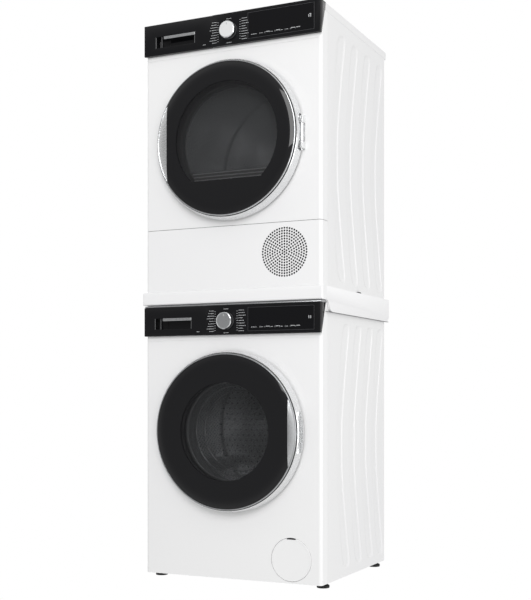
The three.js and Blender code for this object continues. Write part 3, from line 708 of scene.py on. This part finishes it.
def knob(unit):
    """A turned knob: brushed face in a bright bevel, finely ribbed dark skirt and a pointer line."""
    name, centre = unit["name"], unit["knob"]
    body = f"{name}_knob"
    low, high = box_mm(body)
    radius = (high.x - low.x) / 2
    front, back = low.y, FASCIA_FACE - 0.6
    ribs, rib_depth = 180, 0.018
    skirt = revolve(f"{name}_knob_skirt", [
        (0, front + 3), (radius - 3, front + 3), (radius - 1.6, front + 3.4), (radius - 0.5, back - 4),
        (radius, back - 3), (radius, back), (3.5, back), (3.5, high.y), (0, high.y)],
        centre.x, centre.z, ribs)
    for vertex in skirt.data.vertices:
        x, z = vertex.co.x / MM - centre.x, vertex.co.z / MM - centre.z
        if math.hypot(x, z) > radius - 2 and front + 2 < vertex.co.y / MM < back - 3.5:
            step = round(math.atan2(x, z) / (2 * math.pi / ribs)) % 2
            vertex.co.x = (centre.x + x * (1 - rib_depth * step)) * MM
            vertex.co.z = (centre.z + z * (1 - rib_depth * step)) * MM
    dress(skirt, KNOB_SKIRT, [body], 30, body)
    bevel = revolve(f"{name}_knob_bevel", [
        (radius - 2.6, 0), (radius - 1.9, 0.3), (radius - 0.9, 2.2), (radius - 0.9, 3.3), (radius - 6, 3.3),
        (radius - 6, 0.9), (radius - 3.4, 0.9)], centre.x, centre.z, 96, True, front)
    dress(bevel, CHROME, (), 25, body)
    # The dryer's face takes the paler copy of the same silver, painted light; the washer's pointer takes it
    # as its pale line.
    face_finish, line_finish = (KNOB_FACE, KNOB_PALE_AND_LIT) if name == "washer" else (KNOB_PALE_AND_LIT, KNOB_FACE)
    face = revolve(f"{name}_knob_face", [
        (0, 0.5), (radius - 4, 0.5), (radius - 3.5, 0.9), (radius - 3.5, 3.2), (0, 3.2)],
        centre.x, centre.z, 96, False, front)
    dress(face, face_finish, (), 25, body)
    pointer = block(f"{name}_knob_pointer", (centre.x - 0.8, front + 0.1, centre.z + radius - 13),
                    (centre.x + 0.8, front + 1, centre.z + radius - 6.5), 0.2, 2)
    dress(pointer, line_finish, body=body)


def drawer_front(front_node, strip_node, body):
    """A drawer front, the bright strip over its finger recess, and the recess' end lines."""
    keep(front_node, BLACK, 1.6, 3)
    low, high = box_mm(strip_node)
    strip = block(f"{strip_node}_bar", low, high, 1.2, 3)
    dress(strip, SATIN, [strip_node], body=body)
    bottom, near, far = high.z - 34, FASCIA_FACE + 0.3, FASCIA_FACE + 2
    ends = [block("end", (x, near, bottom), (x + 1.1, far, high.z - 1)) for x in (low.x - 27.5, low.x - 7)]
    ends.append(block("end", (high.x - 0.9, near, bottom), (high.x + 0.1, far, low.z - 0.5)))
    dress(join(ends, f"{strip_node}_ends"), GREY_AND_SHADE, body=body)
    front_low, front_high = box_mm(front_node)
    caption = label(front_high.x - 32, front_low.z + 11, 10, FASCIA_FACE, 3, 1.3)
    dress(join(caption, f"{front_node}_marks"), PRINT, body=body)


def fascia(unit):
    keep(f"{unit['name']}_fascia", BLACK, 1.6, 3)
    programme_marks(unit)
    display(unit)
    knob(unit)


# ---------------------------------------------------------------- doors
FAR = 300                       # past every edge of a door
GLASS = (0.008, 0.008, 0.009)


def hoop(name, profile, unit, segments=ROUND):
    """A closed ring round a door's axis. Its profile's y is counted from the white front."""
    return revolve(name, profile, 0, unit["door_z"], segments, True, FRONT)


def door_cover_profile(unit, depth):
    """Outside of the domed cover glass, from its middle to its rim, pushed back by a depth."""
    shape = []
    for step in range(25):
        part = step / 24
        sink = 1.6 * part ** 3 + 4.0 * max(0.0, (part - 0.9) / 0.1) ** 2
        shape.append((unit["glass_radius"] * part, DOOR_FACE + sink + depth))
    return shape


def door_window_material(unit):
    """Smoked glass that is printed black round the window."""
    centre_x, radius, level, opacity = unit["window"]
    material = clear_glass(f"{unit['name']}_door_glass", GLASS, 0.5, 0.015)
    tree = material.node_tree
    x, _, z = coordinates(tree)
    across = math_node(tree, "SUBTRACT", x, centre_x * MM)
    height = math_node(tree, "SUBTRACT", z, unit["door_z"] * MM)
    in_circle = math_node(tree, "LESS_THAN", distance_node(tree, across, height), radius * MM)
    above = math_node(tree, "GREATER_THAN", height, level * MM)
    window = math_node(tree, "MULTIPLY", in_circle, above)
    see_through = math_node(tree, "MULTIPLY", window, 1 - opacity)
    drive(material, "Alpha", math_node(tree, "SUBTRACT", 1.0, see_through))
    return material


def door_cutter(unit, side, x0, x1, y0, y1, reach):
    """A block to one side of a door's middle, from x0 to x1 outwards and from -reach to reach in height."""
    near, far = sorted((side * x0, side * x1))
    centre = unit["door_z"]
    return block("cutter", (near, y0, centre - reach), (far, y1, centre + reach))


def hinge_rod(unit, name, radius, steps, reach):
    """An upright rod on a door's hinge axis."""
    centre = unit["door_z"]
    outline = circle(unit["hinge"] * HINGE_X, HINGE_Y, radius, steps)
    return prism(name, outline, "z", centre - reach, centre + reach)


def door_ring(unit):
    """The door's rim: a bead round the glass, a thin black ring behind the bead that paints the shade of the
    gap there, a bright wall, and a recessed foot whose dark colour paints the shadow gap at the panel.
    """
    name, hinge, radius = unit["name"], unit["hinge"], unit["glass_radius"]
    body = f"{name}_door"
    foot_line = -7.4
    wall = hoop(f"{name}_door_wall", [
        (radius + 13.4, foot_line - 0.2), (radius + 13.4, -10), (radius + 8.9, -35), (radius + 7.1, -38.2),
        (radius + 6.6, -38.7), (radius + 6.1, -38.2), (radius + 6.1, -36.4), (radius - 8, -36.4),
        (radius - 12, -30), (220, foot_line - 0.2)], unit)
    # The recessed foot is dark plastic coloured as painted shade: it stands for the shadow gap between the
    # rim and the white front.
    shadow_foot = hoop(f"{name}_door_shadow_foot", [
        (radius + 10, foot_line), (radius + 10, -0.6), (206, -0.6), (206, -6), (212, foot_line)], unit)
    for piece in (wall, shadow_foot):
        boolean(piece, [door_cutter(unit, hinge, 230, 260, FRONT - 27, FRONT + 1, 54),
                        door_cutter(unit, -hinge, 226, 260, FRONT - 35, FRONT - 12, 62)])
    arm = door_cutter(unit, hinge, 226, HINGE_X, HINGE_Y - 5, HINGE_Y + 5, 26)
    boolean(wall, [arm, hinge_rod(unit, "barrel", 5.6, 40, 26)], "UNION")
    boolean(wall, [hinge_rod(unit, "bore", 3.6, 24, 40)])
    dress(wall, RIM_SILVER, [f"{name}_door_ring"], 28, body)
    dress(shadow_foot, DARK, (), 28, body)
    # A thin black ring between the bead and the wall: painted shade in the gap behind the bead.
    groove = hoop(f"{name}_door_gap_shade", [
        (radius - 6, -37.2), (radius + 5.9, -37.2), (radius + 5.9, -36.6), (radius - 6, -36.6)], unit)
    dress(groove, BLACK_AND_SHADE, (), 28, body)
    bead = hoop(f"{name}_door_bead", [
        (radius + 0.4, -37.4), (radius + 0.4, -42.8), (radius + 1, -44.1), (radius + 2.1, -44.5),
        (radius + 3.2, -44.1), (radius + 3.8, -42.8), (radius + 4, -41), (radius + 4, -37.4)], unit)
    dress(bead, SATIN if name == "washer" else CHROME, (), 40, body)


def door_hinge(unit):
    """The fixed half of the hinge: a leaf on the front, a lug above and below the knuckle, and the pin."""
    name, centre, hinge = unit["name"], unit["door_z"], unit["hinge"]
    near, far = sorted((hinge * 233, hinge * 245.5))
    leaf = door_cutter(unit, hinge, 231, 245.5, FRONT - 2.3, FRONT - 0.4, 50)
    lugs = [block("lug", (near, FRONT - 18, low), (far, FRONT - 1, low + 21), 1.6, 3)
            for low in (centre + 27, centre - 48)]
    boolean(leaf, [*lugs, hinge_rod(unit, "pin", 3, 24, 47)], "UNION")
    leaf.name = f"{name}_door_hinge_leaf"
    dress(leaf, RIM_SILVER, [f"{name}_door_hinge"], 30)


def door(unit):
    """A door: its rim and hinge, the domed cover glass and the grip plate beside the glass."""
    name, centre, hinge, radius = unit["name"], unit["door_z"], unit["hinge"], unit["glass_radius"]
    body = f"{name}_door"
    door_ring(unit)
    door_hinge(unit)
    rim = [(radius, FRONT - 38.5), (radius - 12, FRONT - 38.5)]
    inside = [(min(r, radius - 16), y) for r, y in reversed(door_cover_profile(unit, 4.5)) if r < radius - 14]
    section = door_cover_profile(unit, 0) + rim + inside
    cover = revolve(f"{name}_door_cover", section, 0, centre)
    plate = revolve(f"{name}_door_grip", section, 0, centre)
    chord = unit["chord"] + 0.15
    boolean(cover, [door_cutter(unit, -hinge, chord, FAR, FRONT - 80, FRONT, FAR)])
    end = math.sqrt(radius ** 2 - chord ** 2) - 4
    cutters = [door_cutter(unit, -hinge, -FAR, chord + 1.2, FRONT - 80, FRONT, FAR)]
    for side in (-1, 1):
        level = centre + side * (end + 100)
        cutters.append(block("cutter", (-FAR, FRONT - 80, level - 100), (FAR, FRONT, level + 100)))
    boolean(plate, cutters)
    dress(cover, door_window_material(unit), [f"{name}_door_glass"], 30, body)
    finish = SATIN if name == "washer" else RIM_SILVER
    dress(plate, finish, [f"{name}_door_handle"], 30, body)


# ---------------------------------------------------------------- washer inside
def washer_bowl():
    """The clear bowl behind the cover glass, with three bright beads and its black clamping ring."""
    unit, body = UNITS["washer"], "washer_door"
    bowl = revolve("washer_bowl", [
        (0, 99.6), (60, 98.6), (96, 95.5), (112, 90), (121, 82), (130, 62), (142.5, 30), (151.4, 1),
        (156, -1), (203, -1), (203, -5.2), (148, -5.2), (138, 30), (126, 60), (117, 78), (108, 86), (94, 91),
        (60, 93.8), (0, 94.8)], 0, unit["door_z"], base=FRONT)
    dress(bowl, BOWL, ["washer_door_bowl"], 30, body)
    for index, (radius, y) in enumerate(((149, 1), (137, 34), (124.5, 66))):
        bead = hoop(f"washer_bowl_bead_{index + 1}", [
            (radius - 1.5, y), (radius - 1.1, y - 1.3), (radius, y - 1.8), (radius + 1.1, y - 1.3),
            (radius + 1.5, y), (radius, y + 1.5)], unit, 128)
        dress(bead, BOWL_EDGE, (), 50, body)
    clamp = hoop("washer_door_clamp", [
        (205, -5.8), (205, -20), (200, -24), (158, -24), (152, -20), (152, -5.8)], unit, 128)
    dress(clamp, DARK, (), 30, body)


def washer_seal():
    """The rubber bellows: a lip on the front panel, two folds and a lip on the tub."""
    depth = box_mm("washer_door_seal")[1].y - FRONT
    outer = []
    inner = []
    for step in range(25):
        part = step / 24
        y = 9 + part * (depth - 12)
        wave = 4.2 * math.sin(part * 4 * math.pi)
        outer.append((167 + wave, y))
        inner.append((161 + wave * 0.75, y))
    lip = [(158, 1.6), (160, 1), (174.6, 1), (174.6, 2.6), (185, 2.6), (185, 6.6), (167, 7)]
    profile = lip + outer + [(166, depth), (158, depth)] + inner[::-1] + [(158, 7)]
    seal = hoop("washer_bellows", profile, UNITS["washer"], 128)
    dress(seal, RUBBER, ["washer_door_seal"], 40)


# ---------------------------------------------------------------- drums
PADDLE_FOOT, PADDLE_RIDGE = 27, 11      # half widths of a paddle at the wall and at its ridge
PADDLE_SECTIONS, PADDLE_POINTS = 15, 13


def paddle(name, outer, inner, y0, y1, turn, centre):
    """One drum paddle: a rounded ridge that tapers towards both ends."""
    vertices = []
    for section in range(PADDLE_SECTIONS):
        part = section / (PADDLE_SECTIONS - 1)
        y = y0 + (y1 - y0) * part
        swell = math.sin(math.pi * min(1.0, max(0.0, 0.04 + part * 0.92))) ** 0.35
        for step in range(PADDLE_POINTS):
            across = -1 + 2 * step / (PADDLE_POINTS - 1)
            rise = 1 - abs(across) ** 2.6
            sideways = across * (PADDLE_FOOT + (PADDLE_RIDGE - PADDLE_FOOT) * rise * 0.75)
            reach = outer - (outer - inner) * swell * rise
            x = sideways * math.cos(turn) + reach * math.sin(turn)
            z = -sideways * math.sin(turn) + reach * math.cos(turn)
            vertices.append((x, y, centre + z))
    faces = [tuple(range(PADDLE_POINTS)), tuple(range(len(vertices) - PADDLE_POINTS, len(vertices)))]
    for first in range(0, len(vertices) - PADDLE_POINTS, PADDLE_POINTS):
        second = first + PADDLE_POINTS
        for step in range(PADDLE_POINTS):
            following = (step + 1) % PADDLE_POINTS
            faces.append((first + step, first + following, second + following, second + step))
    return add_mesh(name, vertices, faces)


def drum(unit):
    """A drum with a rolled lip, a pressed back and three paddles."""
    name, centre, lip, hub = unit["name"], unit["door_z"], unit["lip"], unit["hub"]
    body = f"{name}_drum"
    low, high = box_mm(body)
    front, back, outer = low.y, high.y, high.x
    wall = outer - 2
    steel = perforated_steel(f"{name}_drum_steel", centre, wall, back - 14, *unit["holes"])
    inside = [
        (0, back - 14), (hub * 0.5, back - 14), (hub * 0.8, back - 10), (hub, back - 5),
        (outer * 0.62, back - 3), (outer * 0.8, back - 7), (outer * 0.93, back - 4), (outer - 8, back - 5),
        (wall - 0.6, back - 13), (wall, front + 14), (wall - 3, front + 5), (outer * 0.85, front + 3),
        (lip + 4, front + 3), (lip + 1.5, front + 5), (lip, front + 4), (lip, front + 1), (lip + 2, front)]
    outside = [(outer - 6, front), (outer, front + 6), (outer, back - 6), (outer - 6, back), (0, back)]
    shell = revolve(f"{name}_drum_shell", inside + outside, 0, centre, 144)
    dress(shell, steel, [body], 40, body)
    inner, front_gap, back_gap = unit["paddle"]
    for index in range(3):
        ridge = paddle(f"{name}_paddle_{index + 1}", wall + 1, inner, front + front_gap, back - back_gap,
                       index * 2 * math.pi / 3, centre)
        dress(ridge, STEEL if name == "washer" else LIGHT, (), 50, body)


# ---------------------------------------------------------------- dryer inside
def dryer_door_frame():
    """The dark moulding behind the cover glass, its pane, and the sill along the window's flat lower edge."""
    unit, body = UNITS["dryer"], "dryer_door"
    centre = unit["door_z"]
    moulding = hoop("dryer_door_moulding", [
        (166, 4), (169, -5.4), (205, -5.4), (205, -1), (193, -1), (190, 4), (186.5, 22), (184, 24),
        (176, 24), (172, 20), (166, 20)], unit, 128)
    dress(moulding, GREY_AND_SHADE, ["dryer_door_inner"], 30, body)
    pane = revolve("dryer_door_pane", [
        (0, 19), (110, 17.5), (165.6, 14), (165.6, 10.4), (110, 13.9), (0, 15.4)], 0, centre, 128, base=FRONT)
    dress(pane, BOWL, (), 30, body)
    sill_radius, sill_angle = 165, math.radians(33)
    arc = circle(0, centre, sill_radius, 40, math.pi + sill_angle, 2 * math.pi - sill_angle)
    sill = prism("dryer_door_sill", arc, "y", FRONT - 5, FRONT + 9)
    dress(sill, SILL_GREY, (), 30, body)
    bars = []
    for drop in (2, 12, 22):
        half, top = 128 - drop * 0.3, centre - sill_radius * math.sin(sill_angle) - drop
        bars.append(block("bar", (-half, FRONT - 7, top - 3.2), (half, FRONT - 4.9, top), 0.8, 2))
    dress(join(bars, "dryer_door_sill_bars"), LIGHT, body=body)


def dryer_bulkhead():
    """The shield round the dryer's mouth, and the lint filter in its lower edge."""
    depth = box_mm("dryer_bulkhead")[1].y - FRONT
    shield = hoop("dryer_front_shield", [
        (200.5, 4), (202, 2.6), (213.5, 2.6), (213.5, 60.2), (282.5, 60.2), (282.5, depth), (203, depth),
        (200.5, depth - 2)], UNITS["dryer"], 144)
    dress(shield, LIGHT, ["dryer_bulkhead"], 30)
    keep("dryer_lint_filter", LIGHT, 1.5, 3)
    low, high = box_mm("dryer_lint_filter")
    bars = [block("bar", (low.x + 12, low.y - 2, z), (high.x - 12, low.y + 0.4, z + 3.5), 0.8, 2)
            for z in (high.z - 12, high.z - 24, high.z - 36)]
    dress(join(bars, "dryer_lint_filter_bars"), WHITE)


# ---------------------------------------------------------------- joining frame, tops, hatch, feet
def kit():
    """The white joining frame: a softly crowned front rail, the rear rail, skirts with clips, and a dark
    strip under each skirt's lower edge that paints its shadow line.
    """
    low, high = box_mm("kit_front_rail")
    crown = [(low.y + 8, low.z + 0.2), (low.y + 2.4, low.z + 0.6), (low.y + 0.5, low.z + 3.5),
             (low.y, low.z + 12), (low.y, high.z - 12), (low.y + 0.8, high.z - 4),
             (low.y + 3, high.z - 0.8), (low.y + 8, high.z)]
    outline = fillet(crown + [(high.y, high.z), (high.y, low.z + 0.2)], 4, 5)
    rail = prism("kit_rail_front", outline, "x", low.x, high.x)
    plan = [(low.x, high.y + 5), (low.x, low.y), (high.x, low.y), (high.x, high.y + 5)]
    boolean(rail, [prism("plan", fillet(plan, 8, 8), "z", low.z - 5, high.z + 5)], "INTERSECT")
    dress(rail, KIT_WHITE, ["kit_front_rail"], 25)
    keep("kit_rear_rail", KIT_WHITE, 1.2, 3)
    low, high = box_mm("kit_right_skirt")
    clip_y = (low.y + high.y) / 2
    for side_name, side in SIDES.items():
        keep(f"kit_{side_name}_skirt", KIT_WHITE, 1.6, 3)
        near, far = sorted((side * (HALF + 0.3), side * (high.x - 0.6)))
        # A dark strip under each skirt's lower edge: a painted shadow line.
        lip = block(f"kit_shadow_strip_{side_name}", (near, low.y + 9, low.z - 1.3), (far, high.y - 4, low.z + 0.1))
        dress(lip, GREY_AND_SHADE)
        clip = block(f"kit_clip_{side_name}", (near, clip_y - 11, high.z - 1),
                     (far, clip_y + 11, high.z + 3.4), 0.5, 2)
        dress(clip, DARK)


def tops():
    low, high = box_mm("dryer_top_cover")
    cover = block("dryer_top_lid", low, high, 2.4, 4)
    # The lid takes the sides' darker enamel, painted shade, so its side band matches the side panels.
    dress(cover, SHADED_ENAMEL, ["dryer_top_cover"], 40)
    keep("washer_top_plate", SATIN)


def hatch():
    """The round filter hatch, with a thin raised rim, a slit at its top, and a black ring behind its edge
    that paints the shade in the gap round it.
    """
    x = middle("washer_filter_hatch").x
    radius = box_mm("washer_filter_hatch")[1].x - x
    cap = revolve("washer_hatch_cap", [
        (0, -0.2), (radius - 7, -0.2), (radius - 5.4, -1), (radius - 1.4, -1), (radius, 0.4), (radius, 2.4),
        (0, 2.4)], x, HATCH_Z, 128, base=FRONT)
    top = HATCH_Z + radius
    boolean(cap, [block("slit", (x - 15, FRONT - 5, top - 4.5), (x + 15, FRONT + 5, top + 3))])
    dress(cap, WHITE, ["washer_filter_hatch"], 30, "filter_hatch")
    # A black ring behind the hatch's edge: painted shade in the gap between the cap and the front.
    seat = revolve("washer_hatch_gap_shade", [(55, 2.9), (68, 2.9), (68, 4.6), (55, 4.6)],
                   x, HATCH_Z, 96, True, FRONT)
    dress(seat, BLACK_AND_SHADE)


def feet():
    """Levelling feet: a rounded rubber pad, a hexagon to turn it by and a stud."""
    for place in ("front_left", "front_right", "rear_left", "rear_right"):
        node_name, body = f"washer_foot_{place}", f"foot_{place}"
        low, high = box_mm(node_name)
        centre, radius = (low + high) / 2, (high.x - low.x) / 2
        nut_low, nut_high = low.z + 8, low.z + 14.6
        pad = prism(f"{node_name}_pad", circle(centre.x, centre.y, radius, 48), "z", low.z, nut_low)
        round_edges(pad, 1.2, 2, 60)
        dress(pad, BLACK_AND_SHADE, [node_name], 30, body)
        nut = prism(f"{node_name}_nut", circle(centre.x, centre.y, radius * 0.78, 6), "z", nut_low, nut_high)
        dress(nut, BLACK_AND_SHADE, body=body)
        stud = prism(f"{node_name}_stud", circle(centre.x, centre.y, 6, 24), "z", nut_high, high.z)
        dress(stud, ZINC, body=body)


# ---------------------------------------------------------------- rear
def screw(name, x, z, y):
    head = revolve(name, [(0, 1.6), (2.2, 1.5), (3.6, 0.8), (3.8, 0), (0, 0)], x, z, 20, base=y)
    dress(head, ZINC)


def rear(unit):
    """The rear sheet with pressed beads, a bolted service cover and screws along its edges."""
    name = unit["name"]
    low, high = box_mm(f"{name}_rear_panel")
    face = high.y - 0.4
    sheet = block(f"{name}_rear_sheet", low, (high.x, face, high.z))
    beads = [block("bead", (x - 12, high.y - 1.2, low.z + 70), (x + 12, high.y + 2.6, high.z - 60), 2.4)
             for x in (-225, 225)]
    boolean(sheet, beads, "UNION")
    dress(sheet, ZINC, [f"{name}_rear_panel"], 30)
    centre_z = unit["door_z"] - (0 if name == "washer" else 40)
    cover = prism(f"{name}_service_cover", circle(0, centre_z, 165, 96), "y", high.y + 0.2, high.y + 5)
    round_edges(cover, 2.0, 3, 60)
    dress(cover, ZINC, (), 30)
    for index, (x, z) in enumerate(circle(0, centre_z, 152, 8, math.pi / 8, 2.125 * math.pi)):
        screw(f"{name}_cover_screw_{index + 1}", x, z, high.y + 5)
    for side_name, side in SIDES.items():
        for index in range(5):
            z = low.z + 25 + index * (high.z - low.z - 50) / 4
            screw(f"{name}_rear_screw_{side_name[0]}{index + 1}", side * 262, z, face)


def rear_fittings():
    """Inlets at the back: water valve, drain spout and the bushes where the power leads go in."""
    plate = fillet(rectangle((150, 770), (215, 812)), 8)
    dress(prism("washer_inlet_base", plate, "y", REAR, REAR + 3), DARK)
    thread = [(0, 22), (7, 22), (7, 10), (9.5, 10), (9.5, 22), (12.5, 21), (13, 3), (0, 3)]
    spout = [(0, 8), (9, 8), (9, 20), (12, 20), (12.5, 6), (22, 4), (23, 0), (0, 0)]
    bush = [(0, 6), (4, 6), (4, 12), (8, 12), (10, 5), (14, 4), (15, 0), (0, 0)]
    for name, profile, x, z, segments, slot, finish in (
            ("washer_inlet_thread", thread, 182, 791, 48, "light_plastic", LIGHT),
            ("washer_drain_spout", spout, -190, 700, 48, "dark_plastic", DARK),
            ("washer_power_bush", bush, -235, 790, 40, "dark_plastic", DARK),
            ("dryer_power_bush", bush, -235, 1660, 40, "dark_plastic", DARK)):
        dress(revolve(name, profile, x, z, segments, base=REAR), finish, (), 30)
    louvres = [block("louvre", (-150, REAR - 0.2, z), (-20, REAR + 2.4, z + 5), 1.1, 2)
               for z in range(940, 1048, 12)]
    dress(join(louvres, "dryer_rear_louvres"), ZINC, (), 30)


# ---------------------------------------------------------------- everything else that shows through gaps
def inner_parts():
    for name in ("washer_base", "dryer_base", "washer_tub", "washer_damper_left", "washer_damper_right",
                 "washer_filter_plug"):
        keep(name, DARK)
    for name in ("detergent_tray", "dispenser_housing", "washer_drain_pump", "water_tank"):
        keep(name, LIGHT, 1.2, 3)
    for name in ("washer_drum_rotor", "washer_motor_stator", "dryer_motor"):
        keep(name, CAST)
    keep("dryer_heat_pump", LIGHT)
    keep("washer_counterweight", CONCRETE, 3.0)


# ---------------------------------------------------------------- camera and light
def camera():
    """A level camera to the right of the front, with the view shifted to keep uprights upright."""
    data = bpy.data.cameras.new("camera")
    data.lens = 66.03
    data.sensor_width = 36
    data.shift_y = 0.1545
    data.clip_end = 50
    eye = bpy.data.objects.new("camera", data)
    bpy.context.scene.collection.objects.link(eye)
    eye.location = (1.522, FRONT * MM - 2.963, 0.578)
    eye.rotation_euler = (math.pi / 2, 0, 0.443)
    bpy.context.scene.camera = eye


def area_light(name, place, target, size, power):
    data = bpy.data.lights.new(name, "AREA")
    data.shape = "RECTANGLE"
    data.size, data.size_y = size
    data.energy = power
    lamp = bpy.data.objects.new(name, data)
    bpy.context.scene.collection.objects.link(lamp)
    lamp.location = place
    lamp.rotation_euler = (Vector(target) - Vector(place)).to_track_quat("-Z", "Y").to_euler()


def grey_ramp(tree, source, low, high, stops):
    """Blends grey tones over a range of a value."""
    return ramp(tree, spread(tree, source, low, high), [(place, (tone,) * 3) for place, tone in stops])


def studio():
    """A plain white surround. Surfaces see a soft studio instead, darker to the front left."""
    scene = bpy.context.scene
    scene.view_settings.view_transform = "Standard"
    scene.world = bpy.data.worlds.new("studio")
    scene.world.use_nodes = True
    tree = scene.world.node_tree
    direction = node(tree, "ShaderNodeTexCoord", {}).outputs["Generated"]
    up = node(tree, "ShaderNodeSeparateXYZ", {0: direction}).outputs["Z"]
    height = grey_ramp(tree, up, -1, 1, [(0, 0.80), (0.45, 0.66), (0.55, 0.62), (1.0, 0.95)])
    dark_side = (-0.42, -0.90, 0.10)
    facing = node(tree, "ShaderNodeVectorMath", {0: direction, 1: dark_side}, operation="DOT_PRODUCT")
    shade = grey_ramp(tree, facing.outputs["Value"], 0.72, 0.98, [(0, 1.0), (1, 0.42)])
    seen = node(tree, "ShaderNodeLightPath", {}).outputs["Is Camera Ray"]
    background = tree.nodes["Background"].inputs
    strength = math_node(tree, "MAXIMUM", math_node(tree, "MULTIPLY", height, shade), seen)
    tree.links.new(strength, background["Strength"])
    background["Color"].default_value = (1, 1, 1, 1)
    area_light("key", (1.2, -4.2, 2.8), (0, 0, 0.9), (2.4, 2.0), 80)
    area_light("low fill", (2.0, -3.2, 0.4), (0.25, 0, 0.45), (1.4, 1.0), 17)
    area_light("side", (4.2, 0.4, 0.6), (0.3, 0, 0.8), (1.6, 2.2), 35)
    area_light("back", (-2.5, 3.0, 2.4), (0, 0, 0.9), (2.5, 2.0), 45)


camera()
studio()
for machine in UNITS.values():
    for side_name in SIDES:
        ribbed_side(machine, side_name)
    white_front(machine)
    fascia(machine)
    door(machine)
    rear(machine)
service_panel()
drawer_front("detergent_drawer_front", "detergent_handle_strip", "detergent_drawer")
drawer_front("tank_drawer_front", "tank_handle_strip", "water_tank")
washer_bowl()
washer_seal()
dryer_door_frame()
dryer_bulkhead()
for machine in UNITS.values():
    drum(machine)
kit()
tops()
hatch()
feet()
rear_fittings()
inner_parts()
